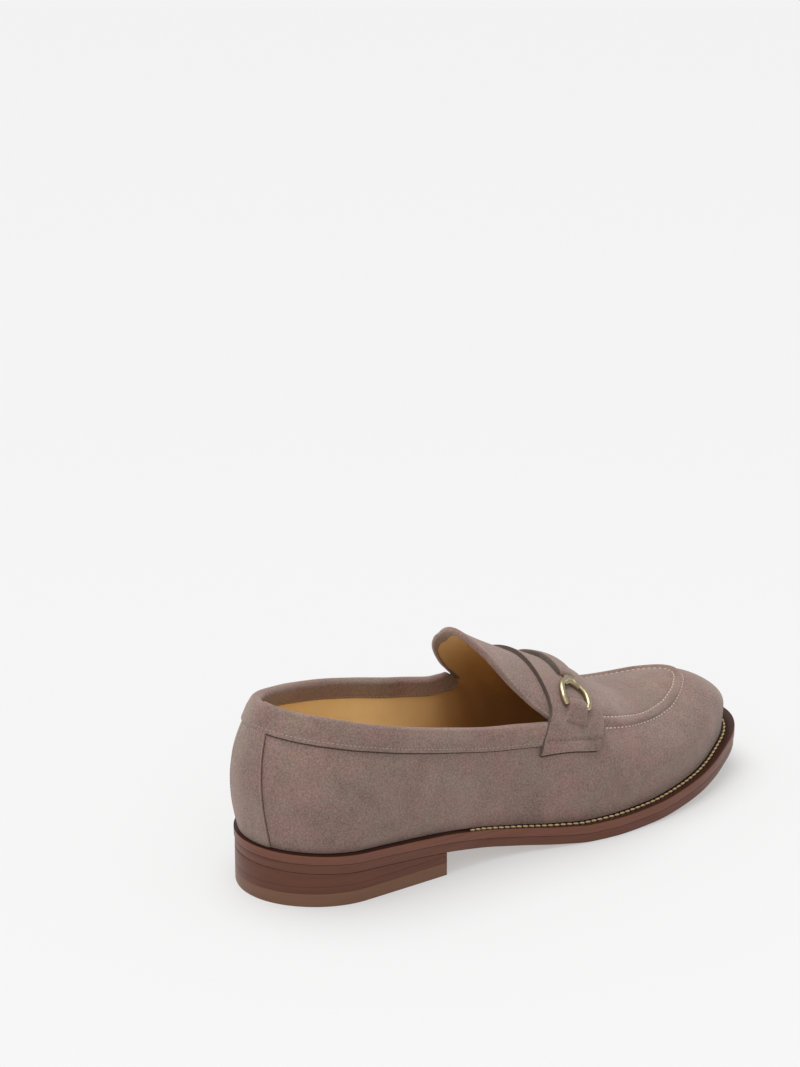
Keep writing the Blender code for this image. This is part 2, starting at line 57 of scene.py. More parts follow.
# The last and the sole, in millimetres along the shoe from the back of the heel
SOLE_LENGTH = 288.0
HEEL_LENGTH = 86.0
HEEL_ROUND, TOE_ROUND, TOE_SQUARENESS, TOE_SWING = 41.0, 60.0, 2.3, 4.0
OUTER_SWEEP, INNER_SWEEP = 2.2, 3.2
WALL = 2.2
OUTSOLE_THICK, WELT_THICK, TOP_LIFT_THICK, HEEL_LIFT_THICK = 4.6, 4.1, 6.3, 3.0
GAP, LAID_GAP = 0.3, 0.45
BAND_THICK, BAND_DEPTH, BAND_INSIDE, BAND_GAP = 1.2, 11.5, 10.0, 0.65
BAND_SLANT_ALONG, BAND_STOP_ALONG, THROAT_ALONG = 118.0, 153.5, 156.0
BACKSTAY_WAY, BACKSTAY_TOP_WAY = 0.066, 0.048
SADDLE_THICK, STRAP_THICK, RING_WIRE = 1.6, 2.6, 1.25
SWELL_RISE = 0.16
RING_HOME, RING_HEADING, RING_BAR = (188.5, 0.752), (-0.26, 0.88, -0.38), 15.2

# Length, width and height of one stitch, and of one step of the thin lines along cut edges
FINE_STITCH, BAND_STITCH, TONGUE_STITCH = (1.2, 0.42, 0.4), (1.35, 0.42, 0.4), (1.3, 0.4, 0.35)
# The band's and the saddle's edge lines are dark rows of painted shadow along their cut edges
BAND_LINE, SADDLE_LINE = (1.6, 0.75, 0.5), (1.5, 0.7, 0.5)
# The backstay's pale rim row is partly its light cut edge and partly painted highlight on its raised edge; its dark
# line is painted shadow of the step
BACKSTAY_RIM_AND_HIGHLIGHT, BACKSTAY_LINE = (1.7, 0.5, 0.5), (1.7, 0.35, 0.5)
LINE_PITCH, SADDLE_LINE_PITCH = 1.5, 1.4
# Length of an apron stitch in mm and of a welt stitch as a share of its pitch, then shares of the thread's
# thickness, and by how many degrees each stitch turns from its row
APRON_BEAD, WELT_BEAD = (1.75, 1.0, 0.8), (0.86, 1.0, 0.95)
APRON_TURN, WELT_TURN, APRON_OFF = 5, -12, 0.0345
BAND_END_GAP = 0.15
# Where along the shoe the lining takes painted shade, for where it lies deep under the tongue and the vamp, and the
# tone of that shade
SHADED_ALONG, SHADE_TONE = (85, 150), (0.46, 0.30, 0.17)
SIDES = ((OUTER, "outer"), (INNER, "inner"))

# Half widths of the sole's edge, before its two ends are rounded
EDGE = (
    ("along", "outer", "inner"),
    (0, 37.0, 36.5), (40, 38.8, 38.4), (83, 38.6, 37.5), (105, 38.0, 33.5), (125, 40.0, 33.0),
    (145, 45.0, 38.0), (163, 49.8, 45.0), (183, 52.3, 50.0), (203, 52.0, 51.0), (220, 49.6, 49.5),
    (236, 46.3, 46.5), (252, 42.5, 41.5), (268, 39.5, 37.0), (288, 39.0, 36.0),
)
# Underside of the outsole
BOTTOM = (
    ("along", "height"),
    (0, 17.4), (83, 11.6), (105, 8.2), (130, 3.9), (150, 1.2), (166, 0.0), (184, 0.0),
    (210, 1.0), (240, 4.4), (265, 9.2), (288, 15.0),
)
# Ridge of the last over the middle of the foot
RIDGE = (
    ("along", "across", "height"),
    (0, 0.0, 128.0), (50, -1.0, 126.0), (98, -3.5, 115.0), (116, -3.5, 104.5), (130, -3.5, 96.0),
    (150, -3.0, 85.0), (170, -2.0, 74.5), (190, -0.5, 64.2), (208, 0.5, 55.0), (228, 1.8, 51.8),
    (250, 3.0, 51.1), (270, 4.0, 49.0), (290, 4.0, 43.0),
)
# Each section: where it meets the ridge, how far in from the edge it starts, and how its side swells and rounds
SECTION = (
    ("along", "ridge", "inset", "swell", "swell_height", "outer_round", "inner_round"),
    (0, 36, 2.8, 3.7, 54, 2.60, 2.60), (3, 37, 2.8, 3.7, 53, 2.60, 2.60),
    (10, 40, 2.9, 3.8, 52, 2.70, 2.85), (28, 46, 3.0, 4.0, 50, 3.10, 3.50),
    (62, 58, 3.2, 3.8, 48, 3.00, 3.00), (87, 74, 3.4, 3.4, 46, 2.40, 2.40),
    (116, 92, 4.2, 3.0, 42, 1.35, 1.10), (156, 115, 5.4, 2.6, 36, 1.00, 1.15),
    (172, 140, 5.8, 2.2, 31, 1.05, 1.00), (190, 163, 6.0, 2.0, 28, 1.00, 1.25),
    (215, 195, 6.0, 1.8, 27, 1.00, 1.25), (240, 218, 6.0, 1.5, 28, 1.25, 1.25),
    (262, 233, 6.4, 1.0, 31, 1.08, 1.08), (288, 242, 7.0, 0.7, 34, 0.92, 0.92),
)
# Height of the collar's edge
TOPLINE = (
    ("along", "outer", "inner"),
    (-5, 96.0, 96.0), (5, 93.5, 93.5), (14, 91.5, 90.5), (30, 87.5, 87.0), (62, 78.0, 82.0),
    (87, 72.0, 76.5), (115, 66.0, 71.0), (150, 62.5, 65.0),
)
# The raised seam of the apron: how far up each section it runs
APRON = (
    ("along", "rise"),
    (156, 0.480), (188, 0.512), (200, 0.532), (216, 0.580), (230, 0.590), (240, 0.603), (258, 0.682),
    (272, 0.752), (288, 0.815),
)
# Edges of the saddle and of the strap over it: how far along they stand at each height up the side
SADDLE_EDGE = (
    ("rise", "rear", "front"),
    (0.24, 137.3, 166.5), (0.30, 139.0, 168.5), (0.44, 143.4, 174.5), (0.54, 146.6, 178.2),
    (0.66, 148.2, 180.5), (0.80, 149.0, 183.0), (0.92, 149.4, 185.2), (1.00, 149.5, 185.8),
)
WING_RISE = (0.245, 0.325)
STRAP_EDGE = (
    ("rise", "rear", "front"),
    (0.74, 162.6, 171.9), (0.82, 163.0, 173.6), (0.92, 164.4, 175.5), (1.00, 165.5, 176.3),
)
STRAP_END = (0.790, 0.780)
# The tongue's edge: how far it lies ahead of its section
THROAT = (
    ("rise", "ahead"),
    (0.438, 0.0), (0.46, 2.6), (0.49, 1.2), (0.53, -1.6), (0.61, -3.0), (0.70, -0.8), (0.78, 1.5),
    (0.90, 0.8), (1.00, 0.0),
)
THROAT_FADE = 0.08

# Half of a ring, from its neck just beyond the strap's end, round the arm to its tip at the tab's side. The bar
# that closes the solid ring inside the tab's fold isn't made here
RING_ARM = (
    ("step", "across", "down"),
    (0.00, 2.2, 0.2), (0.14, 3.2, 1.8), (0.30, 5.3, 3.2), (0.46, 7.1, 5.7), (0.62, 8.0, 8.8),
    (0.78, 8.0, 11.8), (0.90, 7.3, 14.0), (1.00, 6.0, 15.4),
)

# Soft dents and swells in the suede: which side, where, how long and wide, and how deep
DENTS = (
    ("side", "along", "height", "length", "width", "tilt", "depth"),
    (OUTER, 118, 40, 34, 9, 4, -0.55), (OUTER, 88, 52, 30, 8, -10, -0.40), (OUTER, 55, 40, 20, 12, -6, 0.35),
    (OUTER, 152, 30, 24, 6, 10, -0.45), (OUTER, 176, 38, 15, 5, -38, -0.50), (OUTER, 196, 42, 17, 5, -24, -0.40),
    (OUTER, 228, 30, 22, 6, 8, 0.30), (OUTER, 190, 52, 12, 4, -34, 0.35), (INNER, 120, 44, 30, 9, 0, -0.50),
    (INNER, 96, 34, 26, 8, 12, -0.40), (INNER, 168, 40, 18, 6, -30, -0.45), (INNER, 200, 40, 18, 5, -22, -0.35),
)


def column(table, name):
    names, *rows = table
    place = names.index(name)
    return np.array([row[place] for row in rows], float)


def curve(table, name, at, key="along"):
    """Smooth curve through one column of a table, which never swings past the rows it joins."""
    x, y = column(table, key), column(table, name)
    step = np.diff(x)
    slope = np.diff(y) / step
    before, after = slope[:-1], slope[1:]
    w1, w2 = 2 * step[1:] + step[:-1], step[1:] + 2 * step[:-1]
    same = before * after > 0
    safe = np.where(same, before * after, 1.0)
    inner = np.where(same, (w1 + w2) * safe / np.where(same, w1 * after + w2 * before, 1.0), 0.0)
    tangent = np.concatenate([[slope[0]], inner, [slope[-1]]])
    at = np.asarray(at, float)
    i = np.clip(np.searchsorted(x, at) - 1, 0, len(x) - 2)
    t = np.clip((at - x[i]) / step[i], 0, 1)
    return (
        (1 + 2 * t) * (1 - t) ** 2 * y[i]
        + t * (1 - t) ** 2 * step[i] * tangent[i]
        + t * t * (3 - 2 * t) * y[i + 1]
        - t * t * (1 - t) * step[i] * tangent[i + 1]
    )


def unit(vectors):
    return vectors / np.linalg.norm(vectors, axis=-1, keepdims=True)


def ease(value, start, end):
    """0 before start, 1 after end, and a smooth rise between."""
    k = np.clip((np.asarray(value, float) - start) / (end - start), 0, 1)
    return k * k * (3 - 2 * k)


def middle(along):
    """The shoe's own middle line, which swings to the inner side at the toe."""
    return TOE_SWING * ease(along, 120, SOLE_LENGTH + 40) / ease(SOLE_LENGTH, 120, SOLE_LENGTH + 40)


def edge_along(way):
    return SOLE_LENGTH * (1 - np.cos(np.pi * np.asarray(way, float))) / 2


def way_at(along):
    return np.arccos(1 - 2 * np.asarray(along, float) / SOLE_LENGTH) / np.pi


def edge(way, side, inset=0.0):
    """Point in plan on the sole's edge, or inset from it."""
    way = np.asarray(way, float)

    def raw(w):
        along = edge_along(w)
        heel = np.clip(1 - along / HEEL_ROUND, 0, 1)
        toe = np.clip((along - SOLE_LENGTH + TOE_ROUND) / TOE_ROUND, 0, 1)
        rounding = (1 - heel**2) ** 0.5 * np.maximum(1 - toe**TOE_SQUARENESS, 0) ** (1 / TOE_SQUARENESS)
        rounding = np.where((w < 0) | (w > 1), -rounding, rounding)
        half = np.where(side < 0, curve(EDGE, "outer", along), curve(EDGE, "inner", along))
        return np.stack([along, middle(along) + side * half * rounding], -1)

    h = 1e-4
    tangent = raw(way + h) - raw(way - h)
    tangent /= np.linalg.norm(tangent, axis=-1, keepdims=True)
    inward = np.stack([-tangent[..., 1], tangent[..., 0]], -1) * -np.asarray(side)[..., None]
    return raw(way) + inward * np.asarray(inset, float)[..., None], inward


def bottom(along):
    return curve(BOTTOM, "height", along)


def welt_top(along):
    return bottom(along) + OUTSOLE_THICK + GAP + WELT_THICK


def last(way, side, rise):
    """Point on the outside of the upper: way runs round the edge from heel to toe, rise up to the ridge."""
    way, side, rise = np.broadcast_arrays(np.asarray(way, float), side, rise)
    along = edge_along(np.clip(way, 0, 1))
    start, inward = edge(way, side, curve(SECTION, "inset", along))
    swell = curve(SECTION, "swell", along)
    swell_height = curve(SECTION, "swell_height", along)
    shape = np.where(side < 0, curve(SECTION, "outer_round", along), curve(SECTION, "inner_round", along))
    ridge_along = curve(SECTION, "ridge", along)
    ridge = np.stack([ridge_along, curve(RIDGE, "across", ridge_along)], -1)
    low = np.clip(rise / SWELL_RISE, 0, 1)
    turn = np.clip((rise - SWELL_RISE) / (1 - SWELL_RISE), 0, 1) * np.pi / 2
    across = 1 - np.cos(turn) ** shape
    sweep = np.where(side < 0, OUTER_SWEEP, INNER_SWEEP)
    sweep = 1 + (sweep - 1) * ease(along, 90, 165) * (1 - ease(along, 170, 260))
    along_part = 1 - (1 - across) ** sweep
    reach = np.stack([along_part, across], -1) * (ridge - start)
    out = np.where(rise < SWELL_RISE, np.sin(low * np.pi / 2), 1 - across) * swell
    plan = start + reach - inward * out[..., None]
    feather = welt_top(start[..., 0]) + GAP
    top = curve(RIDGE, "height", plan[..., 0])
    height = np.where(
        rise < SWELL_RISE,
        feather + (swell_height - feather) * low,
        swell_height + (top - swell_height) * np.sin(turn),
    )
    return np.concatenate([plan, height[..., None]], -1)


def outward(way, side, rise):
    """Direction straight out of the upper's outside."""
    way, side, rise = np.broadcast_arrays(np.asarray(way, float), side, rise)
    h = 1e-3
    rise = np.clip(rise, h, 1 - 2 * h)
    across = last(way, side, rise + h) - last(way, side, rise - h)
    round_it = last(way + h, side, rise) - last(way - h, side, rise)
    normal = np.cross(round_it, across) * side[..., None] * -1
    return normal / np.linalg.norm(normal, axis=-1, keepdims=True)


def seam_ridge(way, rise):
    """Height of the apron's raised seam, with the shallow grooves of its two stitch rows."""
    along = edge_along(way)
    off = (rise - curve(APRON, "rise", along)) / 0.030
    rim = 1.6 * np.exp(-np.abs(off) ** 2.6) - 0.60 * np.exp(-(((np.abs(off) - 1.15) / 0.32) ** 2))
    return rim * ease(along, 186, 197)


def softness(points, side):
    """Listed dents and swells, and a faint unevenness all over."""
    lift = np.zeros(points.shape[:-1])
    names, *rows = DENTS
    for row in rows:
        dent = dict(zip(names, row))
        x, z = points[..., 0] - dent["along"], points[..., 2] - dent["height"]
        c, s = math.cos(math.radians(dent["tilt"])), math.sin(math.radians(dent["tilt"]))
        far = ((x * c + z * s) / dent["length"]) ** 2 + ((z * c - x * s) / dent["width"]) ** 2
        lift += np.where(side == dent["side"], dent["depth"], 0) * np.exp(-far)
    x, y, z = points[..., 0], points[..., 1], points[..., 2]
    lift += 0.10 * np.sin(x / 9.0 + 1.3 * np.sin(z / 11.0)) * np.sin(z / 8.0 + y / 13.0)
    return lift


def over(way, side, rise, lift):
    """Point that stands off the upper's outside by lift."""
    base = last(way, side, rise)
    lift = np.asarray(lift, float) + softness(base, np.asarray(side)) * ease(base[..., 2], 20, 32)
    return base + outward(way, side, rise) * lift[..., None]


def halved(low, high, times, short):
    """Where short turns from true to false, found by halving the stretch from low to high."""
    for _ in range(times):
        mid = (low + high) / 2
        more = short(mid)
        low, high = np.where(more, mid, low), np.where(more, high, mid)
    return (low + high) / 2


def rise_at(way, side, height):
    """How far up a section the upper reaches a height."""
    way, side, height = np.broadcast_arrays(np.asarray(way, float), side, height)
    return halved(np.zeros(way.shape), 1.0, 18, lambda rise: last(way, side, rise)[..., 2] < height)


def way_over(along, side, rise):
    """Which section stands a given way along the shoe at this rise."""
    along, side, rise = np.broadcast_arrays(np.asarray(along, float), side, rise)
    return halved(np.zeros(along.shape), 1.0, 20, lambda way: last(way, side, rise)[..., 0] < along)


def topline_rise(way, side):
    """How far up a section the collar's edge lies."""
    way, side = np.broadcast_arrays(np.asarray(way, float), side)

    def under(rise):
        point = last(way, side, rise)
        outer, inner = curve(TOPLINE, "outer", point[..., 0]), curve(TOPLINE, "inner", point[..., 0])
        return point[..., 2] < np.where(side < 0, outer, inner)

    return halved(np.full(way.shape, SWELL_RISE), 0.9, 18, under)


def cut_rise(way, side):
    """Where the upper is cut, just under the fold of the collar band."""
    top = last(way, side, topline_rise(way, side))[..., 2]
    return rise_at(way, side, top - BAND_THICK - GAP)


MIDDLE_ALONG = SOLE_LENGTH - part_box("welt")[1].x / MM
MIDDLE_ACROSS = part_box("welt")[0].y / -MM + edge(np.linspace(0, 1, 400), OUTER)[0][:, 1].min()
THROAT_WAY = float(way_at(THROAT_ALONG))


def to_world(points):
    """Points of the shoe, in mm from its heel and middle, in the part's own place and in metres."""
    return (np.asarray(points, float) - [MIDDLE_ALONG, MIDDLE_ACROSS, 0]) * MM


# Meshes


def piece(name, points, faces, materials, slot, nodes=(), indices=None, smooth=40):
    """Adds one piece of the shoe, in place of the solids it stands for."""
    mesh = bpy.data.meshes.new(name)
    mesh.from_pydata(to_world(np.asarray(points).reshape(-1, 3)).tolist(), [], faces)
    for made in materials:
        mesh.materials.append(made)
    if indices is not None:
        mesh.polygons.foreach_set("material_index", np.asarray(indices, np.int32))
    mesh.validate()
    mesh.shade_smooth()
    mesh.set_sharp_from_angle(angle=math.radians(smooth))
    thing = bpy.data.objects.new(name, mesh)
    bpy.context.scene.collection.objects.link(thing)
    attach(thing, "root")
    if nodes:
        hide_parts(*nodes)
    return thing


def grid_faces(rows, columns, start=0, flip=False, ring=False):
    """Faces of a grid of points. ring joins the last column to the first."""
    faces = []
    for i in range(rows - 1):
        for j in range(columns if ring else columns - 1):
            k = (j + 1) % columns
            a, b = start + i * columns + j, start + i * columns + k
            c, d = start + (i + 1) * columns + k, start + (i + 1) * columns + j
            faces.append((a, d, c, b) if flip else (a, b, c, d))
    return faces


def swept(name, loops, materials, slot, nodes=(), ring=False, indices=None, smooth=40):
    """Loops of points joined one to the next. indices gives the material of each point of the loop."""
    loops = np.asarray(loops)
    count, size = loops.shape[:2]
    path = np.concatenate([loops, loops[:1]]) if ring else loops
    faces = grid_faces(len(path), size, flip=True, ring=True)
    if ring:
        total = count * size
        faces = [tuple(v % total for v in face) for face in faces]
    which = [indices[j] if indices is not None else 0 for _ in range(len(path) - 1) for j in range(size)]
    if not ring:
        faces += [tuple(range(size)), tuple(range((count - 1) * size, count * size))[::-1]]
        which += [0, 0]
    piece(name, loops, faces, materials, slot, nodes, which, smooth)


def stitches(name, centre, heading, up, size, made, slot):
    """One mesh of thread stitches, each a small bead laid along the row."""
    rings, around = 5, 6
    t = np.linspace(0, np.pi, rings)
    a = np.linspace(0, 2 * np.pi, around, endpoint=False)
    bead = np.stack([
        np.repeat(-np.cos(t), around),
        np.outer(np.sin(t) ** 0.7, np.cos(a)).ravel(),
        np.outer(np.sin(t) ** 0.7, np.sin(a)).ravel(),
    ], -1) * (np.array(size) / 2)
    heading = unit(heading)
    across = unit(np.cross(up, heading))
    axes = np.stack([heading, across, np.cross(heading, across)], 1)
    points = centre[:, None] + np.einsum("kj,njc->nkc", bead, axes)
    single = grid_faces(rings, around, ring=True)
    faces = [tuple(v + n * len(bead) for v in face) for n in range(len(centre)) for face in single]
    piece(name, points, faces, [made], slot, smooth=80)


def spaced(points, pitch):
    """Where to put stitches on a polyline so that they're evenly spaced: fractional indices."""
    far = np.concatenate([[0], np.cumsum(np.linalg.norm(np.diff(points, axis=0), axis=1))])
    count = max(int(far[-1] / pitch), 1)
    return np.interp((np.arange(count) + 0.5) * far[-1] / count, far, np.arange(len(points)))


def row_of(name, points, ups, pitch, size, made, slot="suede", turn=0.0):
    """Stitches along a row of points, with their upward directions, each turned by an angle in the surface."""
    index = spaced(points, pitch)
    steps = np.arange(len(points))

    def at_stitches(values):
        return np.stack([np.interp(index, steps, values[:, k]) for k in range(3)], -1)

    up, heading = unit(at_stitches(ups)), unit(at_stitches(np.gradient(points, axis=0)))
    heading = heading * math.cos(turn) + np.cross(up, heading) * math.sin(turn)
    stitches(name, at_stitches(points), heading, up, size, made, slot)


# Materials


def group(name, outputs, **inputs):
    """New node group, with the node that holds its inputs and the one that takes its outputs."""
    tree = bpy.data.node_groups.new(name, "ShaderNodeTree")
    for word, value in inputs.items():
        kind = "NodeSocketColor" if np.ndim(value) else "NodeSocketFloat"
        socket = tree.interface.new_socket(word, in_out="INPUT", socket_type=kind)
        socket.default_value = (*value, 1) if np.ndim(value) else value
    for word in outputs:
        kind = "NodeSocketColor" if word == "Colour" else "NodeSocketFloat"
        tree.interface.new_socket(word, in_out="OUTPUT", socket_type=kind)
    return tree, tree.nodes.new("NodeGroupInput"), tree.nodes.new("NodeGroupOutput")


def node(tree, kind, settings=None, **inputs):
    """New node. An input is given by its name, or by _ and its number, as a value or as the socket to join."""
    made = tree.nodes.new(kind)
    for word, value in (settings or {}).items():
        setattr(made, word, value)
    for word, value in inputs.items():
        socket = made.inputs[int(word[1:])] if word[1:].isdigit() else made.inputs[word.replace("_", " ")]
        if isinstance(value, bpy.types.NodeSocket):
            tree.links.new(value, socket)
        else:
            socket.default_value = value
    return made


def ramp(tree, source, low, high, start, end):
    made = node(tree, "ShaderNodeMapRange", _0=source, _1=low, _2=high, _3=start, _4=end)
    made.clamp = True
    return made.outputs[0]


def mixed(tree, share, first, second, kind="MIX"):
    made = node(tree, "ShaderNodeMix", {"data_type": "RGBA", "blend_type": kind}, _0=share)
    for value, socket in ((first, made.inputs[6]), (second, made.inputs[7])):
        if isinstance(value, bpy.types.NodeSocket):
            tree.links.new(value, socket)
        else:
            socket.default_value = (*value, 1) if len(value) == 3 else value
    return made.outputs[2]


def noise(tree, place, scale, detail=3.0, rough=0.55, distort=0.0):
    made = node(tree, "ShaderNodeTexNoise", Vector=place, Scale=scale, Detail=detail, Roughness=rough,
                Distortion=distort)
    return made.outputs[0]


def maths(tree, what, first, second):
    return node(tree, "ShaderNodeMath", {"operation": what}, _0=first, _1=second).outputs[0]


def nap_group():
    """Suede nap: broad brushed patches, warm and green tinges, and short grain."""
    grey = (0.2, 0.2, 0.2)
    tree, given, gives = group("suede_nap", ("Colour", "Height"), Colour=grey, Warm=grey, Cool=grey, Patches=0.5,
                               Grain=0.25)
    place = node(tree, "ShaderNodeTexCoord").outputs["Object"]
    broad = noise(tree, place, 34.0, 3.0, 0.6, 0.6)
    tinge = noise(tree, place, 58.0, 4.0, 0.6, 0.4)
    brushed = noise(tree, place, 95.0, 5.0, 0.65, 0.8)
    short = noise(tree, place, 1150.0, 4.0, 0.75)
    warm = maths(tree, "MULTIPLY", ramp(tree, tinge, 0.50, 0.68, 0, 1), given.outputs["Patches"])
    cool = maths(tree, "MULTIPLY", ramp(tree, tinge, 0.50, 0.33, 0, 1), given.outputs["Patches"])
    colour = mixed(tree, warm, given.outputs["Colour"], given.outputs["Warm"])
    colour = mixed(tree, cool, colour, given.outputs["Cool"])
    light = maths(tree, "ADD", ramp(tree, broad, 0.3, 0.7, 0.86, 1.14),
                  ramp(tree, brushed, 0.3, 0.7, -0.07, 0.08))
    spread = maths(tree, "MULTIPLY", maths(tree, "SUBTRACT", short, 0.5), given.outputs["Grain"])
    light = maths(tree, "ADD", light, maths(tree, "MULTIPLY", spread, 4.0))
    grey = node(tree, "ShaderNodeCombineColor", _0=light, _1=light, _2=light).outputs[0]
    tree.links.new(mixed(tree, 1.0, colour, grey, "MULTIPLY"), gives.inputs["Colour"])
    height = maths(tree, "ADD", maths(tree, "MULTIPLY", brushed, 0.35), short)
    tree.links.new(height, gives.inputs["Height"])


def layer_group():
    """Cut and waxed leather edge: thin streaks that run level round the sole, with a few darker rubs."""
    tree, given, gives = group("leather_layers", ("Colour", "Roughness", "Height"), Colour=(0.2, 0.1, 0.1),
                               Dark=(0.1, 0.05, 0.03), Streaks=0.5)
    place = node(tree, "ShaderNodeTexCoord").outputs["Object"]
    level = node(tree, "ShaderNodeMapping", Vector=place, Scale=(1.0, 1.0, 22.0)).outputs[0]
    lines = noise(tree, level, 42.0, 5.0, 0.65, 0.2)
    rubs = noise(tree, level, 9.0, 4.0, 0.6, 0.5)
    fibre = noise(tree, place, 700.0, 3.0, 0.7)
    share = maths(tree, "ADD", ramp(tree, lines, 0.42, 0.72, 0, 0.65), ramp(tree, rubs, 0.5, 0.75, 0, 0.5))
    share = maths(tree, "MULTIPLY", share, given.outputs["Streaks"])
    tree.links.new(mixed(tree, share, given.outputs["Colour"], given.outputs["Dark"]), gives.inputs["Colour"])
    tree.links.new(ramp(tree, lines, 0.3, 0.7, 0.34, 0.50), gives.inputs["Roughness"])
    tree.links.new(maths(tree, "ADD", lines, maths(tree, "MULTIPLY", fibre, 0.3)), gives.inputs["Height"])


def grain_group():
    """Smooth leather: faint pores and soft handling marks."""
    tree, given, gives = group("leather_grain", ("Colour", "Roughness", "Height"), Colour=(0.5, 0.3, 0.1),
                               Worn=(0.4, 0.2, 0.1))
    place = node(tree, "ShaderNodeTexCoord").outputs["Object"]
    marks = noise(tree, place, 22.0, 5.0, 0.65, 0.5)
    cells = node(tree, "ShaderNodeTexVoronoi", {"feature": "DISTANCE_TO_EDGE"}, Vector=place, Scale=900.0).outputs[0]
    share = ramp(tree, marks, 0.42, 0.72, 0, 0.55)
    tree.links.new(mixed(tree, share, given.outputs["Colour"], given.outputs["Worn"]), gives.inputs["Colour"])
    tree.links.new(ramp(tree, marks, 0.3, 0.7, 0.42, 0.56), gives.inputs["Roughness"])
    tree.links.new(ramp(tree, cells, 0.0, 0.12, 0.0, 1.0), gives.inputs["Height"])


def wear_group():
    """Twist of a thread or wear of the metal: a spotted mix of a colour with its dull tone."""
    tree, given, gives = group("spotted_wear", ("Colour", "Spots"), Colour=(0.5, 0.5, 0.5), Dull=(0.4, 0.4, 0.4),
                               Scale=160.0, Detail=4.0, High=0.7, Most=0.7)
    place = node(tree, "ShaderNodeTexCoord").outputs["Object"]
    spots = noise(tree, place, given.outputs["Scale"], given.outputs["Detail"], 0.6)
    share = ramp(tree, spots, 0.35, given.outputs["High"], 0, given.outputs["Most"])
    tree.links.new(mixed(tree, share, given.outputs["Colour"], given.outputs["Dull"]), gives.inputs["Colour"])
    tree.links.new(spots, gives.inputs["Spots"])


def made_once(maker):
    """Gives the maker's material, which is made only when it's first asked for."""
    def found(name, *values):
        return bpy.data.materials.get(name) or maker(name, *values)

    return found


def material(name, roughness, metallic=0.0, **fixed):
    """Material with fixed values, with its node tree and its shader."""
    made = bpy.data.materials.new(name)
    made.use_nodes = True
    shader = made.node_tree.nodes["Principled BSDF"]
    shader.inputs["Roughness"].default_value = roughness
    shader.inputs["Metallic"].default_value = metallic
    for word, value in fixed.items():
        shader.inputs[word.replace("_", " ")].default_value = value
    return made, made.node_tree, shader


def placed(tree, name, **inputs):
    """One of the node groups, placed in a material with its own values."""
    made = tree.nodes.new("ShaderNodeGroup")
    made.node_tree = bpy.data.node_groups[name]
    for word, value in inputs.items():
        made.inputs[word].default_value = (*value, 1) if np.ndim(value) else value
    return made


def join(tree, source, shader, strength, distance):
    """Joins a group's colour, roughness and height to the shader."""
    tree.links.new(source.outputs["Colour"], shader.inputs["Base Color"])
    if "Roughness" in source.outputs:
        tree.links.new(source.outputs["Roughness"], shader.inputs["Roughness"])
    bump = node(tree, "ShaderNodeBump", Strength=strength, Distance=distance, Height=source.outputs["Height"])
    tree.links.new(bump.outputs[0], shader.inputs["Normal"])


@made_once
def suede(name, colour, patches=0.6, grain=0.50):
    made, tree, shader = material(name, 0.95, Sheen_Weight=0.42, Sheen_Roughness=0.45,
                                  Sheen_Tint=(0.95, 0.86, 0.80, 1), Specular_IOR_Level=0.15)
    tone = np.array(colour) / toned("suede")
    nap = placed(tree, "suede_nap", Colour=colour, Warm=tone * toned("suede_warm"), Cool=tone * toned("suede_cool"),
                 Patches=patches, Grain=grain)
    join(tree, nap, shader, 0.55, 0.0006)
    return made


@made_once
def edge_leather(name, colour, dark, streaks, coat):
    made, tree, shader = material(name, 0.42, Coat_Weight=coat, Coat_Roughness=0.3, Specular_IOR_Level=0.25)
    join(tree, placed(tree, "leather_layers", Colour=colour, Dark=dark, Streaks=streaks), shader, 0.25, 0.0003)
    return made


@made_once
def smooth_leather(name, colour, worn, painted_shade=0.0):
    """Its last argument, a share, darkens the leather towards the toe: painted shade for where the lining lies deep
    under the tongue and the vamp.
    """
    made, tree, shader = material(name, 0.5)
    grain = placed(tree, "leather_grain", Colour=colour, Worn=worn)
    join(tree, grain, shader, 0.12, 0.0002)
    if painted_shade:
        place = node(tree, "ShaderNodeTexCoord").outputs["Object"]
        toward = node(tree, "ShaderNodeSeparateXYZ", _0=place).outputs[0]
        start, end = ((along - MIDDLE_ALONG) * MM for along in SHADED_ALONG)
        share = ramp(tree, toward, start, end, 0, painted_shade)
        # Painted shade: the colour darkens along the shoe towards the toe
        shaded = mixed(tree, share, grain.outputs["Colour"], tuple(np.array(colour) * SHADE_TONE))
        tree.links.new(shaded, shader.inputs["Base Color"])
    return made


@made_once
def thread(name, colour):
    made, tree, shader = material(name, 0.75)
    twist = placed(tree, "spotted_wear", Colour=colour, Dull=np.array(colour) * 0.72, Scale=1400.0, Detail=2.0,
                   High=0.65, Most=1.0)
    tree.links.new(twist.outputs["Colour"], shader.inputs["Base Color"])
    return made


@made_once
def ring_metal(name):
    made, tree, shader = material(name, 0.3, 1.0)
    wear = placed(tree, "spotted_wear", Colour=toned("metal"), Dull=toned("metal", 0.72, 0.70, 0.66), Scale=160.0,
                  Detail=4.0, High=0.7, Most=0.7)
    tree.links.new(wear.outputs["Colour"], shader.inputs["Base Color"])
    tree.links.new(ramp(tree, wear.outputs["Spots"], 0.3, 0.7, 0.22, 0.36), shader.inputs["Roughness"])
    return made


def shades():
    return bpy.context.scene.loafer_colours


def sizes():
    return bpy.context.scene.loafer_sizes


def toned(word, *tone):
    """One of the colours, as it is or toned: one factor for all of it, or one each for red, green and blue."""
    return tuple(np.array(getattr(shades(), word)) * (tone or (1.0,)))


def main_suede():
    return suede("taupe_suede", toned("suede"))


# Much darker suede on the cut edges of the band, the saddle and the strap: partly the cut edges' own colour, partly
# painted shade where these edges lie in their own shadow
def shaded_cut_edge_suede():
    return suede("cut_suede_edge", toned("suede", 0.36, 0.38, 0.38), 0.3, 0.35)


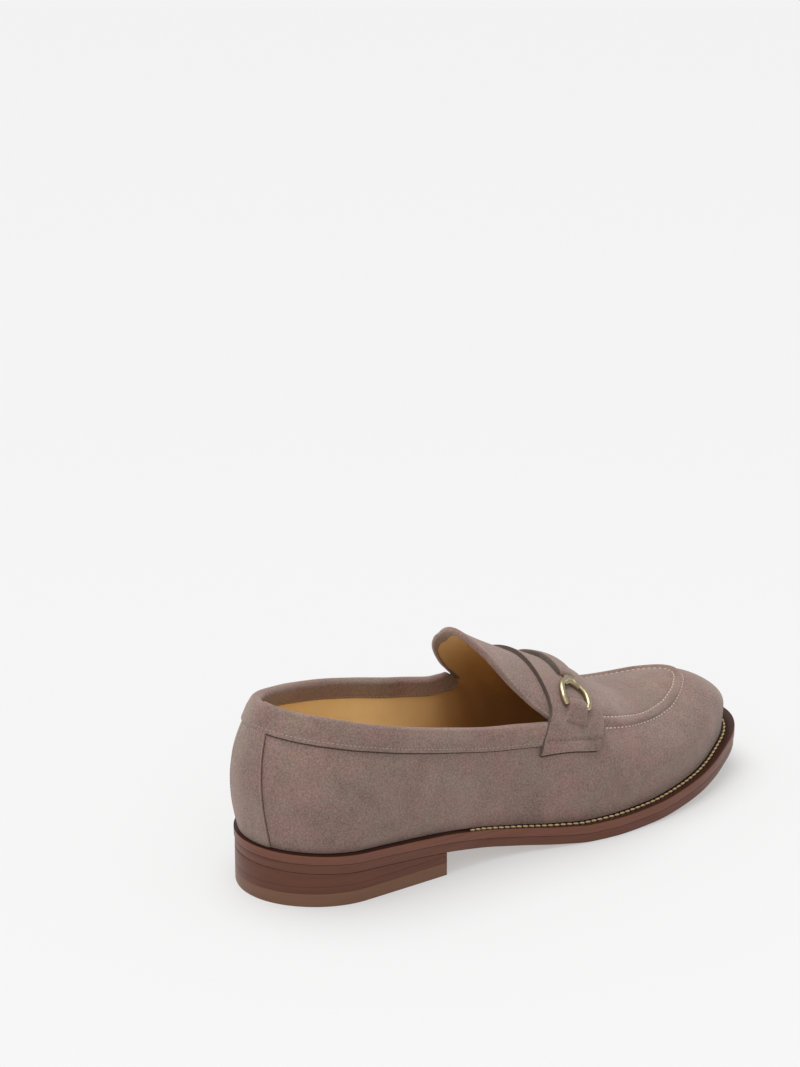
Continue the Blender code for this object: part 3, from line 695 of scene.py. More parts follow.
# Dark thread laid in rows as painted shadow along cut edges
def seam_shadow():
    return thread("seam_shadow", toned("suede", 0.32, 0.27, 0.26))


def seam_thread():
    return thread("seam_thread", toned("seam_thread"))


def saddle_thread():
    return thread("saddle_thread", toned("suede", 0.75, 0.68, 0.66))


# Tan lining and insole leather, with painted shade darkening it towards the toe
def lining_leather():
    return smooth_leather("tan_lining", toned("lining"), toned("lining", 0.86, 0.80, 0.72), 0.8)


def size_property(name, description, value, least, most):
    return bpy.props.FloatProperty(name=name, description=f"{description}, in mm", default=value, min=least, max=most)


class LoaferSizes(bpy.types.PropertyGroup):
    welt_pitch: size_property("Welt stitch pitch", "Distance between two welt stitches", 3.3, 1.5, 8)
    welt_thread: size_property("Welt thread", "Thickness of the welt thread", 1.25, 0.4, 2)
    apron_pitch: size_property("Apron stitch pitch", "Distance between two apron stitches", 2.7, 1.2, 6)
    apron_thread: size_property("Apron thread", "Thickness of the apron thread", 0.75, 0.2, 1.5)
    seam_pitch: size_property("Seam stitch pitch", "Distance between two stitches of the small seams", 2.1, 1, 5)
    edge_round: size_property("Sole edge rounding", "Radius of the rounding along the sole's edge", 0.45, 0.2, 2)


def colour_property(name, description, value):
    return bpy.props.FloatVectorProperty(name=name, description=description, subtype="COLOR", size=3,
                                         default=value, min=0, max=1)


class LoaferColours(bpy.types.PropertyGroup):
    suede: colour_property("Suede", "Main colour of the upper", (0.262, 0.177, 0.149))
    suede_warm: colour_property("Suede, warm patches", "Rosy tinge of the brushed nap", (0.300, 0.178, 0.152))
    suede_cool: colour_property("Suede, cool patches", "Olive tinge of the brushed nap", (0.245, 0.192, 0.150))
    lining: colour_property("Lining", "Lining and insole leather", (0.97, 0.74, 0.40))
    sole_edge: colour_property("Sole edge", "Waxed edge of welt and outsole", (0.190, 0.072, 0.043))
    sole_dark: colour_property("Sole edge, dark", "Streaks and lower edge of the outsole", (0.100, 0.034, 0.020))
    welt_top: colour_property("Welt top", "Upper face of the welt", (0.052, 0.017, 0.010))
    lift: colour_property("Heel lifts", "Stacked leather of the heel", (0.135, 0.047, 0.026))
    top_lift: colour_property("Top lift", "Lowest layer of the heel", (0.190, 0.092, 0.052))
    welt_thread: colour_property("Welt thread", "Thread of the welt", (0.74, 0.56, 0.30))
    apron_thread: colour_property("Apron thread", "Thread of the apron seam", (0.78, 0.66, 0.55))
    seam_thread: colour_property("Seam thread", "Thread of the band and hems", (0.46, 0.37, 0.30))
    metal: colour_property("Ring metal", "Half rings of the bit", (0.62, 0.52, 0.33))
    floor: colour_property("Floor", "Studio floor", (0.45, 0.45, 0.45))


# Upper


def section_rows(way, side, throat_rise):
    """Rows of points up one section: the swell, the wall up to the seam, the seam's ridge, and the top."""
    along = float(edge_along(way))
    swell = np.linspace(0, SWELL_RISE, 11)[:-1]
    if along < THROAT_ALONG - 1e-6:
        top = float(cut_rise(way, side))
        return np.concatenate([swell, np.linspace(SWELL_RISE, top, 34)])
    seam = float(curve(APRON, "rise", along))
    blend = float(ease(along, THROAT_ALONG, THROAT_ALONG + 24))
    low = throat_rise * (1 - blend) + (seam - 0.055) * blend
    high = seam + 0.055
    ridge = np.linspace(low, high, 27)[1:]
    return np.concatenate([swell, np.linspace(SWELL_RISE, low, 34), ridge, np.linspace(high, 1, 30)[1:]])


def upper_grid():
    ways = np.concatenate([np.linspace(0, THROAT_WAY, 90), np.linspace(THROAT_WAY, 1, 120)[1:]])
    parts = []
    for side in (OUTER, INNER):
        throat_rise = float(cut_rise(THROAT_WAY, side))
        rows = [section_rows(way, side, throat_rise) for way in ways]
        parts.append((side, ways, rows))
    return parts


def upper_faces(rows, start, flip):
    """Faces between the sections. Where two have a different number of points, the longer one's last are left."""
    faces = []
    begin = start + np.cumsum([0] + [len(row) for row in rows])
    for i in range(len(rows) - 1):
        for j in range(min(len(rows[i]), len(rows[i + 1])) - 1):
            a, b = int(begin[i] + j), int(begin[i + 1] + j)
            faces.append((a, a + 1, b + 1, b) if flip else (a, b, b + 1, a + 1))
    return faces, int(begin[-1])


def with_throat(way, rise):
    """Moves the sections near the tongue's edge so that the edge follows its own curve."""
    ahead = curve(THROAT, "ahead", rise, key="rise") / (np.pi / 2 * SOLE_LENGTH)
    fading = ahead * (1 - ease(way, THROAT_WAY, THROAT_WAY + THROAT_FADE))
    return way + np.where(way >= THROAT_WAY - 1e-9, fading, 0)


def make_skin(name, lift, flip, made, slot, nodes=()):
    """One side of the upper's wall as a piece, lift off its outside, with the apron seam where lift is 0."""
    points, faces, start = [], [], 0
    for side, ways, rows in upper_grid():
        way, rise = np.repeat(ways, [len(row) for row in rows]), np.concatenate(rows)
        drawn = np.where((way == 0) | (way == 1), OUTER, side)
        extra = seam_ridge(way, rise) if lift == 0 else 0.0
        points.append(over(with_throat(way, rise), drawn, rise, lift + extra))
        more, start = upper_faces(rows, start, (side > 0) != flip)
        faces += more
    thing = piece(name, np.concatenate(points), faces, [made], slot, nodes, smooth=60)
    weld = thing.modifiers.new("weld", "WELD")
    weld.merge_threshold = 1e-5
    return thing


class LOAFER_OT_upper(bpy.types.Operator):
    """Suede upper with its raised apron seam, the leather lining inside it and the bound edge of the tongue"""
    bl_idname = "loafer.upper"
    bl_label = "Upper and lining"

    def execute(self, context):
        make_skin("upper_suede", 0.0, False, main_suede(), "suede", ("upper",))
        make_skin("upper_lining", -WALL, True, lining_leather(), "insole_leather")
        self.tongue_edge()
        return {"FINISHED"}

    def tongue_edge(self):
        """Soft rolled edge round the tongue, with its row of stitches."""
        rise, side = [], []
        for s in (OUTER, INNER):
            low = float(cut_rise(THROAT_WAY, s)) - 0.012
            part = low + (1 - low) * np.linspace(0, 1, 60) ** 0.9
            rise.append(part if s < 0 else part[::-1][1:])
            side.append(np.full(len(rise[-1]), s))
        rise, side = np.concatenate(rise), np.concatenate(side)
        turn = np.linspace(0.15 * np.pi, 0.85 * np.pi, 12)
        half = WALL / 2 + 0.45
        profile = [(2.5, 0.05), (2.2, 0.32), (1.4, 0.42)]
        profile += [(0.55 - 0.95 * np.sin(t), -WALL / 2 + half * np.cos(t)) for t in turn]
        profile += [(1.4, -WALL - 0.42), (3.6, -WALL - 0.40), (3.9, -WALL - 0.2), (3.9, -WALL + 0.3)]
        drop, lift = np.array(profile).T
        step = 1e-3
        moved = last(THROAT_WAY + step, side, rise) - last(THROAT_WAY, side, rise)
        speed = np.linalg.norm(moved, axis=-1) / step
        home = with_throat(THROAT_WAY, rise)
        way = home[:, None] + drop[None, :] / speed[:, None]
        loops = over(way, side[:, None], rise[:, None] + 0 * way, lift[None, :] + 0 * way)
        swept("tongue_edge", loops, [main_suede()], "suede", smooth=60)
        row = over(home + 2.9 / speed, side, rise, np.full(len(rise), 0.08))
        ups = outward(home + 2.9 / speed, side, rise)
        row_of("tongue_stitches", row, ups, sizes().seam_pitch, TONGUE_STITCH, seam_thread())


def band_points(home, side, drop, lift):
    """Points of the collar band, drop below the topline and lift off the wall, with its ends cut to the saddle."""
    slanted = float(way_at(BAND_SLANT_ALONG))
    last_way = float(way_at(BAND_STOP_ALONG + 1.5))
    home, side, drop, lift = np.broadcast_arrays(home, side, drop, lift)
    way = home
    for _ in range(3):
        top = last(way, side, topline_rise(way, side))[..., 2]
        rise = rise_at(way, side, top - drop)
        end = way_over(curve(SADDLE_EDGE, "rear", rise, key="rise") - BAND_END_GAP, side, rise)
        share = np.maximum(home - slanted, 0) / (THROAT_WAY - slanted)
        way = np.minimum(home, slanted) + share * (np.minimum(end, last_way) - slanted)
    return over(way, side, rise, lift), way, rise


class LOAFER_OT_collar_band(bpy.types.Operator):
    """Folded suede band round the collar, with its stitch rows outside and inside"""
    bl_idname = "loafer.collar_band"
    bl_label = "Collar band"

    def execute(self, context):
        inside = -WALL - BAND_GAP
        middle_lift = (BAND_GAP + inside) / 2
        half = 1.5 - middle_lift
        inner = middle_lift - half
        turn = np.linspace(0, np.pi, 13)
        profile = [(BAND_DEPTH + 0.1, -0.3), (BAND_DEPTH + 0.1, 0.75), (BAND_DEPTH - 0.1, 1.0)]
        profile += [(BAND_DEPTH - 0.8, 1.1), (BAND_DEPTH - 1.5, 0.92), (BAND_DEPTH - 2.3, 1.2)]
        profile += [(BAND_DEPTH / 2, 1.55)]
        profile += [(2.0 - 2.0 * math.sin(t), middle_lift + half * math.cos(t)) for t in turn]
        profile += [(6.0, inner), (BAND_INSIDE - 0.4, inner + 0.1)]
        profile += [(BAND_INSIDE + 0.1, inside - 0.4), (BAND_INSIDE + 0.1, -WALL + 0.3)]
        profile += [(3.0, -WALL + 0.6), (3.0, -0.4)]
        ways = np.linspace(0, THROAT_WAY, 100)
        home = np.concatenate([ways[::-1], ways[1:]])[:, None]
        side = np.where(np.arange(len(home)) < len(ways), OUTER, INNER)[:, None]
        drop, lift = np.array(profile).T
        loops, _, _ = band_points(home, side, drop, lift)
        # The band's lower cut edge, the first face of its profile, takes the darker edge suede: partly its own
        # colour, partly painted shade under the band
        swept("collar_band_suede", loops, [main_suede(), shaded_cut_edge_suede()], "suede", ("collar_band",),
              indices=[1] + [0] * (len(profile) - 1), smooth=55)
        light, pitch, home, side = seam_thread(), sizes().seam_pitch, home[:, 0], side[:, 0]
        for name, drop_at, lift_at, sign, step, size, made in (
            # The band's edge line is a dark row of painted shadow under the band's lower edge
            ("band_edge_line", BAND_DEPTH + 0.35, 0.12, 1, LINE_PITCH, BAND_LINE, seam_shadow()),
            ("band_stitches_outside", BAND_DEPTH - 1.5, 1.05, 1, pitch, BAND_STITCH, light),
            ("band_stitches_inside", BAND_INSIDE - 1.4, inner - 0.02, -1, pitch, BAND_STITCH, light),
        ):
            row, way, rise = band_points(home, side, drop_at, lift_at)
            row_of(name, row, outward(way, side, rise) * sign, step, size, made)
        return {"FINISHED"}


class LOAFER_OT_backstay(bpy.types.Operator):
    """Suede backstay over the heel seam"""
    bl_idname = "loafer.backstay"
    bl_label = "Backstay"

    def execute(self, context):
        turn = np.concatenate([[-1.0, -0.985, -0.95], np.linspace(-0.9, 0.9, 41), [0.95, 0.985, 1.0]])
        lift = 0.95 * np.array([0.0, 0.75, 1.0] + [0.92] * 41 + [1.0, 0.75, 0.0])
        grid, rows = [], np.linspace(0, 1, 44)
        for share in rows:
            half = BACKSTAY_WAY * (1 - share) + BACKSTAY_TOP_WAY * share
            way, side = np.abs(turn) * half, np.where(turn > 0, INNER, OUTER)
            top = last(way, side, topline_rise(way, side))[..., 2] - BAND_DEPTH + 0.6
            rise = 0.002 + (rise_at(way, side, top) - 0.002) * share
            grid.append(over(way, side, rise, lift))
        points = np.array(grid)
        piece("backstay_suede", points, grid_faces(len(rows), len(turn), flip=True), [main_suede()], "suede",
              ("backstay",), smooth=60)
        share = np.linspace(0.01, 0.97, 60)
        half = BACKSTAY_WAY * (1 - share) + BACKSTAY_TOP_WAY * share
        # Pale rim row: partly the backstay's light cut edge, partly painted highlight where the raised edge catches
        # the light; the dark row beside it is painted shadow of the step
        light, dark = thread("backstay_rim", toned("suede", 1.7)), seam_shadow()
        for side, word in SIDES:
            top = last(half, side, topline_rise(half, side))[..., 2] - BAND_DEPTH
            rise = 0.004 + (rise_at(half, side, top) - 0.004) * share
            for name, way, high, size, made in (
                ("rim", half * 0.975, 0.95, BACKSTAY_RIM_AND_HIGHLIGHT, light),
                ("edge_line", half * 1.010, 0.1, BACKSTAY_LINE, dark),
            ):
                row = over(way, side, rise, high)
                row_of(f"backstay_{name}_{word}", row, outward(way, side, rise), LINE_PITCH, size, made)
        return {"FINISHED"}


def across_ridge(table, ends, shares, turns):
    """Grid over the instep: way, side and rise from the outer end over the ridge to the inner end."""
    share, turn = shares[:, None], turns[None, :]
    end = ends[0] * (1 - share) + ends[1] * share
    rise = 1 - np.abs(turn) * (1 - end)
    rear, front = curve(table, "rear", rise, key="rise"), curve(table, "front", rise, key="rise")
    side = np.where(turn > 0, INNER, OUTER) + np.zeros(share.shape, int)
    way = way_over(rear * (1 - share) + front * share, side, rise)
    return way, side, rise


class LOAFER_OT_saddle(bpy.types.Operator):
    """Suede saddle across the instep, with a cut rear edge, a turned front edge and a stitched hem at each end"""
    bl_idname = "loafer.saddle"
    bl_label = "Saddle"

    def execute(self, context):
        top = LAID_GAP + SADDLE_THICK
        shares = np.concatenate([[0, 0, 0.006, 0.02], np.linspace(0.05, 0.94, 30), [0.965, 0.985, 0.996, 1, 1]])
        turned = [top - 0.05, top - 0.3, top - 0.8, top - 1.5, -0.2]
        lift = np.concatenate([[-0.2, top - 0.15, top, top], np.full(30, top), turned])
        turns = np.linspace(-1, 1, 181)
        way, side, rise = across_ridge(SADDLE_EDGE, WING_RISE, shares, turns)
        far = 1 - np.abs(turns)
        hem = 1 - ease(far, 0.0, 0.012)
        fold = 0.35 * np.exp(-(((far - 0.060) / 0.040) ** 4)) - 0.30 * np.exp(-(((far - 0.122) / 0.012) ** 2))
        height = lift[:, None] * (1 - 0.9 * hem[None, :]) + fold[None, :] * (lift[:, None] > top - 0.4)
        points = over(way, side, rise, height)
        # The saddle's rear cut edge, its first two rows, takes the darker edge suede: partly its own colour, partly
        # painted shade
        index = [1 if i < 2 else 0 for i in range(len(shares) - 1) for _ in range(len(turns) - 1)]
        piece("saddle_suede", points, grid_faces(len(shares), len(turns), flip=True), [main_suede(), shaded_cut_edge_suede()],
              "suede", ("saddle",), index, smooth=50)
        pitch, hem_shares = sizes().seam_pitch, np.linspace(0.02, 0.98, 40)
        for name, inset, below, high, step, size, made in (
            # The saddle's edge line is a dark row of painted shadow along its rear cut edge
            ("saddle_edge_line_{}", 0.0, 0.005, 0.15, SADDLE_LINE_PITCH, SADDLE_LINE, seam_shadow()),
            ("saddle_stitches_{}_1", 0.030, 0, top + 0.12, pitch, FINE_STITCH, saddle_thread()),
            ("saddle_stitches_{}_2", 0.118, 0, top + 0.12, pitch, FINE_STITCH, saddle_thread()),
        ):
            for sign, word in SIDES:
                grid = across_ridge(SADDLE_EDGE, WING_RISE, hem_shares, np.array([sign * (1 - inset)]))
                way, side, rise = (column[:, 0] for column in grid)
                row = over(way, side, rise - below, high)
                row_of(name.format(word), row, outward(way, side, rise), step, size, made)
        return {"FINISHED"}


class LOAFER_OT_bit_strap(bpy.types.Operator):
    """Puffed suede strap over the saddle, between the two rings"""
    bl_idname = "loafer.bit_strap"
    bl_label = "Bit strap"

    def execute(self, context):
        base = SADDLE_THICK + LAID_GAP
        angle = np.linspace(0, np.pi, 21)
        shares = np.concatenate([[0.0], 0.5 - 0.5 * np.cos(angle), [1.0]])
        lift = np.concatenate([[0.0], 0.5 + STRAP_THICK * np.sin(angle) ** 0.55, [0.0]])
        turns = np.linspace(-1, 1, 61)
        way, side, rise = across_ridge(STRAP_EDGE, STRAP_END, shares, turns)
        ends = 0.30 + 0.70 * np.sqrt(np.clip(1 - np.abs(turns) ** 8, 0, 1))
        points = over(way, side, rise, base + lift[:, None] * ends[None, :])
        rows, columns = points.shape[:2]
        faces = grid_faces(rows, columns, flip=True)
        # The strap's rear edge and the low part of its roll, its first five rows, take the darker edge suede: partly
        # the cut edge's colour, partly painted shade behind the strap
        index = [1 if i < 5 else 0 for i in range(rows - 1) for _ in range(columns - 1)]
        for j in (0, columns - 1):
            rim = [i * columns + j for i in range(rows)]
            faces.append(tuple(rim if j == 0 else rim[::-1]))
            index.append(0)
        piece("bit_strap_suede", points, faces, [main_suede(), shaded_cut_edge_suede()], "suede", ("bit_strap",), index,
              smooth=60)
        return {"FINISHED"}


# Bit


def ring_patch(side):
    """Function that lays a flat sketch, across and down from the ring's neck, on the side of the upper."""
    along, rise = RING_HOME
    way = float(way_at(along))
    home, up = last(way, side, rise), outward(way, side, rise)
    down = np.array(RING_HEADING) * [1, side, 1]
    down = down - up * (down @ up)
    down /= np.linalg.norm(down)
    forward = np.cross(up, down)
    forward *= np.sign(forward[0])
    flat = np.stack([forward, down])

    def place(across, drop, lift):
        across, drop, lift = np.broadcast_arrays(np.asarray(across, float), drop, lift)
        w, r = np.full(across.shape, way), np.full(across.shape, rise)
        step = 1e-4
        for _ in range(6):
            point = last(w, side, r)
            by_way = (last(w + step, side, r) - point) / step @ flat.T
            by_rise = (last(w, side, r - step) - point) / -step @ flat.T
            missing = np.stack([across, drop], -1) - (point - home) @ flat.T
            det = by_way[..., 0] * by_rise[..., 1] - by_way[..., 1] * by_rise[..., 0]
            w = w + (missing[..., 0] * by_rise[..., 1] - missing[..., 1] * by_rise[..., 0]) / det
            r = r + (by_way[..., 0] * missing[..., 1] - by_way[..., 1] * missing[..., 0]) / det
        return over(w, side, r, lift)

    return place


def tube(path, ups, radius, around=14):
    """Loops of a round wire along a path."""
    heading = unit(np.gradient(path, axis=0))
    across = unit(np.cross(ups, heading))
    upright = np.cross(heading, across)
    a = np.linspace(0, 2 * np.pi, around, endpoint=False)[:, None]
    wire = across[:, None] * np.cos(a) + upright[:, None] * np.sin(a)
    return path[:, None] + wire * np.reshape(radius, (-1, 1, 1))


class LOAFER_OT_rings(bpy.types.Operator):
    """Two satin metal half rings, each a webbed neck beyond the strap's end and two arms with tips at the tab"""
    bl_idname = "loafer.rings"
    bl_label = "Bit rings"

    def execute(self, context):
        made = ring_metal("satin_ring_metal")
        lift = SADDLE_THICK + 2 * LAID_GAP + RING_WIRE
        for side, word in SIDES:
            place = ring_patch(side)
            steps = np.linspace(0, 1, 40)
            across, down = curve(RING_ARM, "across", steps, "step"), curve(RING_ARM, "down", steps, "step")
            path = np.concatenate([np.stack([-across[::-1], down[::-1]], -1), np.stack([across, down], -1)])
            spots = place(path[:, 0], path[:, 1], lift)
            above = place(path[:, 0], path[:, 1], lift + 1.0) - spots
            swell = 1.12 * RING_WIRE * (1 + 0.12 * np.exp(-((np.abs(path[:, 0]) - 2.4) / 1.5) ** 2))
            swell[:3] *= [0.55, 0.85, 0.97]
            swell[-3:] *= [0.97, 0.85, 0.55]
            loops = tube(spots, above, swell)
            swept(f"bit_ring_{word}_metal", loops, [made], "ring_metal", (f"bit_ring_{word}",), smooth=70)
            web = np.array([(-3.4, 0.9), (-2.3, -0.6), (2.3, -0.6), (3.4, 0.9), (5.4, 3.2), (4.2, 5.2), (2.2, 3.9),
                            (0.0, 3.3), (-2.2, 3.9), (-4.2, 5.2), (-5.4, 3.2)])
            low, high = place(web[:, 0], web[:, 1], lift - 0.75), place(web[:, 0], web[:, 1], lift + 0.75)
            count = len(web)
            faces = [tuple(range(count))[::-1], tuple(range(count, 2 * count))]
            faces += [(j, (j + 1) % count, (j + 1) % count + count, j + count) for j in range(count)]
            neck = piece(f"bit_ring_{word}_neck", np.concatenate([low, high]), faces, [made], "ring_metal", smooth=40)
            soft = neck.modifiers.new("soft", "BEVEL")
            soft.width, soft.segments = 0.3 * MM, 3
        return {"FINISHED"}


class LOAFER_OT_tabs(bpy.types.Operator):
    """Suede tab between the arms of each ring, folded over and stitched down to the saddle"""
    bl_idname = "loafer.tabs"
    bl_label = "Ring tabs"

    def execute(self, context):
        base = SADDLE_THICK + LAID_GAP
        down = [[-3.6, -3.5, -3.2, -2.8, -2.0], np.linspace(-1.2, 1.4, 8), [2.4, 3.4, 4.6, 5.8, 6.3, 6.6, 6.65]]
        over_bar = 4.0 + 0.25 * np.sin(np.linspace(0.3, 2.8, 8))
        tall = np.concatenate([[0.0, 1.0, 1.9, 2.9, 3.7], over_bar, [3.4, 2.5, 1.9, 1.6, 1.4, 1.0, 0.0]])
        share = np.concatenate([[-1, -0.995, -0.97, -0.92], np.linspace(-0.85, 0.85, 19), [0.92, 0.97, 0.995, 1]])
        down, rim = np.concatenate(down), np.sqrt(np.clip(1 - np.abs(share) ** 7, 0, 1))
        width = np.interp(down, [-3.6, -2.8, 0, 6.65], [4.6, 5.4, 5.7, 6.1])
        height = base + tall[:, None] * rim[None, :]
        for side, word in SIDES:
            place = ring_patch(side)
            points = place(share[None, :] * width[:, None], RING_BAR + down[:, None], height)
            faces = grid_faces(len(down), len(share), flip=side > 0)
            piece(f"tab_{word}_suede", points, faces, [main_suede()], "suede", (f"tab_{word}",), smooth=60)
            row, above = (place(np.linspace(-5.2, 5.2, 24), RING_BAR + 5.0, base + lift) for lift in (1.8, 2.8))
            row_of(f"tab_stitches_{word}", row, above - row, sizes().seam_pitch, FINE_STITCH, saddle_thread())
        return {"FINISHED"}


def round_toe(along, count):
    """Ways and sides of a row that runs round the toe, from along on the outer side to the inner one."""
    start = float(way_at(along))
    ways = np.concatenate([np.linspace(start, 1, count), np.linspace(1, start, count)[1:]])
    return ways, np.where(np.arange(len(ways)) < count, OUTER, INNER)


class LOAFER_OT_apron_stitches(bpy.types.Operator):
    """Two rows of pale stitches, one on each side of the raised apron seam"""
    bl_idname = "loafer.apron_stitches"
    bl_label = "Apron stitches"

    def execute(self, context):
        made, thick = thread("apron_thread", toned("apron_thread")), sizes().apron_thread
        ways, side = round_toe(187, 200)
        for word, off in (("outside", -APRON_OFF), ("inside", APRON_OFF)):
            rise = curve(APRON, "rise", edge_along(ways)) + off
            points = over(ways, side, rise, seam_ridge(ways, rise) + 0.12)
            row_of(f"apron_stitches_{word}", points, outward(ways, side, rise), sizes().apron_pitch,
                   np.array([1.0, thick, thick]) * APRON_BEAD, made, turn=math.radians(APRON_TURN))
        return {"FINISHED"}


# Sole


def slab(name, ways, profile, made, slot, nodes, indices):
    """Slab of the sole. profile lists inset and height, a function of along, from the top of its edge down."""
    inset = np.array([row[0] for row in profile])

    def rim(way, side):
        plan = edge(np.full(len(inset), way), side, inset)[0]
        height = np.array([row[1](x) for row, x in zip(profile, plan[:, 0])])
        return np.concatenate([plan, height[:, None]], -1)

    loops = [np.concatenate([rim(way, OUTER), rim(way, INNER)[::-1]]) for way in ways]
    both = list(indices) + [indices[-1]] + list(indices[:-1])[::-1] + [indices[0]]
    swept(name, np.array(loops), made, slot, nodes, indices=both[:2 * len(inset)], smooth=35)


def rounded(low, high, radius, base_inset):
    """Edge profile between two heights, as functions of along, with both corners rounded."""
    angle = np.linspace(0, np.pi / 2, 5)
    turns = [(radius * (1 - math.sin(a)), radius * (1 - math.cos(a))) for a in angle]
    rows = [(base_inset + into, lambda x, down=down: high(x) - down) for into, down in turns]
    return rows + [(base_inset + into, lambda x, rise=rise: low(x) + rise) for rise, into in turns]


class LOAFER_OT_sole(bpy.types.Operator):
    """Leather outsole and welt with their rounded edges, and the row of stitches that holds them"""
    bl_idname = "loafer.sole"
    bl_label = "Outsole and welt"

    def execute(self, context):
        edge_made = edge_leather("sole_edge", toned("sole_edge"), toned("sole_dark"), 0.55, 0.06)
        lower = edge_leather("outsole_edge", toned("sole_edge", 0.80), toned("sole_dark"), 0.75, 0.06)
        under = smooth_leather("outsole_underside", (0.30, 0.165, 0.085), (0.22, 0.11, 0.055))
        dark = edge_leather("welt_top", toned("welt_top"), toned("welt_top", 0.6), 0.5, 0.1)
        ways = np.concatenate([np.linspace(0, 0.1, 24), np.linspace(0.1, 0.8, 110)[1:], np.linspace(0.8, 1, 50)[1:]])
        radius = sizes().edge_round
        profile = [(2.0, lambda x: bottom(x) + OUTSOLE_THICK)]
        profile += rounded(bottom, lambda x: bottom(x) + OUTSOLE_THICK, radius, 0.35)
        slab("outsole_leather", ways, profile, [lower, under], "sole_leather", ("outsole",),
             [0] * (len(profile) - 1) + [1])
        self.welt(ways, edge_made, dark, radius)
        self.welt_stitches()
        return {"FINISHED"}

    def welt(self, ways, edge_made, dark, radius):
        around = np.concatenate([ways[:-1], ways[::-1][:-1]])
        side = np.concatenate([np.full(len(ways) - 1, OUTER), np.full(len(ways) - 1, INNER)])
        along = edge_along(around)
        feather = curve(SECTION, "inset", along)
        fore = ease(along, 92, 108)
        low, high = -GAP, WELT_THICK
        angle = np.linspace(0, np.pi / 2, 5)
        top = radius * 0.7
        rows = [(np.full(len(along), radius * (1 - math.cos(a))), low + radius * (1 - math.sin(a)))
                for a in angle[::-1]]
        rows += [(np.full(len(along), top * (1 - math.cos(a))), high - top * (1 - math.sin(a))) for a in angle]
        edge_count = len(rows)
        rows += [(feather - 3.2, high), (feather - 2.6, high - 0.55 * fore), (feather - 0.7, high - 0.75 * fore)]
        rows += [(feather + 0.3, high - 0.3 * fore), (feather + WALL, high), (feather + WALL, low)]
        loops = []
        for inset, height in rows:
            inset = np.maximum(inset, radius * 0.75) if np.ndim(height) else np.maximum(inset, 0)
            plan = edge(around, side, inset)[0]
            level = bottom(plan[:, 0]) + OUTSOLE_THICK + GAP + height
            loops.append(np.concatenate([plan, level[:, None]], -1))
        indices = [0] * (edge_count - 1) + [1] * (len(rows) - edge_count + 1)
        swept("welt_leather", np.stack(loops, 1), [edge_made, dark], "welt_leather", ("welt",), ring=True,
              indices=indices, smooth=50)

    def welt_stitches(self):
        ways, side = round_toe(101, 300)
        inset = curve(SECTION, "inset", edge_along(ways)) - 1.55
        plan = edge(ways, side, inset)[0]
        height = welt_top(plan[:, 0]) - 0.15
        points = np.concatenate([plan, height[:, None]], -1)
        ups = np.zeros_like(points) + [0, 0, 1]
        pitch, thick = sizes().welt_pitch, sizes().welt_thread
        size = np.array([pitch, thick, thick]) * WELT_BEAD
        row_of("welt_stitches", points, ups, pitch, size, thread("welt_thread", toned("welt_thread")),
               "welt_leather", turn=math.radians(WELT_TURN))


class LOAFER_OT_heel(bpy.types.Operator):
    """Stacked leather heel with its paler top lift"""
    bl_idname = "loafer.heel"
    bl_label = "Heel"

    def execute(self, context):
        ways = np.linspace(0, float(way_at(HEEL_LENGTH)), 70)
        lift = edge_leather("heel_lifts", toned("lift"), toned("sole_dark"), 0.8, 0.05)
        pale = edge_leather("top_lift", toned("top_lift"), toned("top_lift", 0.7), 0.45, 0.05)
        lift_base = TOP_LIFT_THICK + GAP / 2
        wedge_base = TOP_LIFT_THICK + GAP + HEEL_LIFT_THICK + GAP / 2

        def level(height):
            return lambda x: height

        layers = (
            ("top_lift_leather", level(0.0), level(lift_base - 0.05), pale, "top_lift_leather", "top_lift"),
            ("heel_lift_leather", level(lift_base), level(wedge_base - 0.03), lift, "sole_leather", "heel_lift"),
            ("heel_wedge_leather", level(wedge_base), lambda x: bottom(x) - 0.03, lift, "sole_leather", "heel_wedge"),
        )
        for name, low, high, made, slot, solid in layers:
            profile = rounded(low, high, 0.14, 0.32)
            slab(name, ways, profile, [made], slot, (solid,), [0] * len(profile))
        return {"FINISHED"}


class LOAFER_OT_insole(bpy.types.Operator):
    """Leather insole, with its long edges lightly raised"""
    bl_idname = "loafer.insole"
    bl_label = "Insole"

    def execute(self, context):
        ways = np.linspace(0, 1, 120)
        across = np.linspace(-1, 1, 41)
        inset = curve(SECTION, "inset", edge_along(ways)) + WALL + 0.2
        outer, inner = edge(ways, OUTER, inset)[0], edge(ways, INNER, inset)[0]
        share = (across[None, :, None] + 1) / 2
        plan = outer[:, None] * (1 - share) + inner[:, None] * share
        top = welt_top(plan[..., 0]) + 1.6
        dish = 0.9 * (across[None, :] ** 4) * np.sin(np.pi * np.clip(ways, 0.02, 0.98))[:, None]
        points = np.concatenate([plan, (top + dish)[..., None]], -1)
        under = np.concatenate([plan, (top - 6.0)[..., None]], -1)
        faces = grid_faces(len(ways), len(across), flip=True)
        faces += grid_faces(len(ways), len(across), start=len(ways) * len(across))
        piece("insole_leather", np.stack([points, under]), faces, [lining_leather()], "insole_leather", ("insole",),
              smooth=60)
        return {"FINISHED"}


# Stage

FLOOR_GLOW, FLOOR_REACH, WORLD_LIGHT = 0.38, 9, 0.47
# Name, kind, place, aim, power, and width: an angle for the sun, metres for the other
LAMPS = (
    ("key", "SUN", (-0.10, 0.20, 1.0), (0, 0, 0), 2.1, 0.9),
    ("fill", "AREA", (-0.9, -1.2, 1.3), (0, 0, 0.04), 6.0, 1.6),
)
# Focal length in mm, place in the shoe's mm, and turn in degrees
CAMERA_LENS, CAMERA_SPOT, CAMERA_TURN = 97.87, (-640.77, -1020.50, 584.59), (71.142, 0, -35.477)


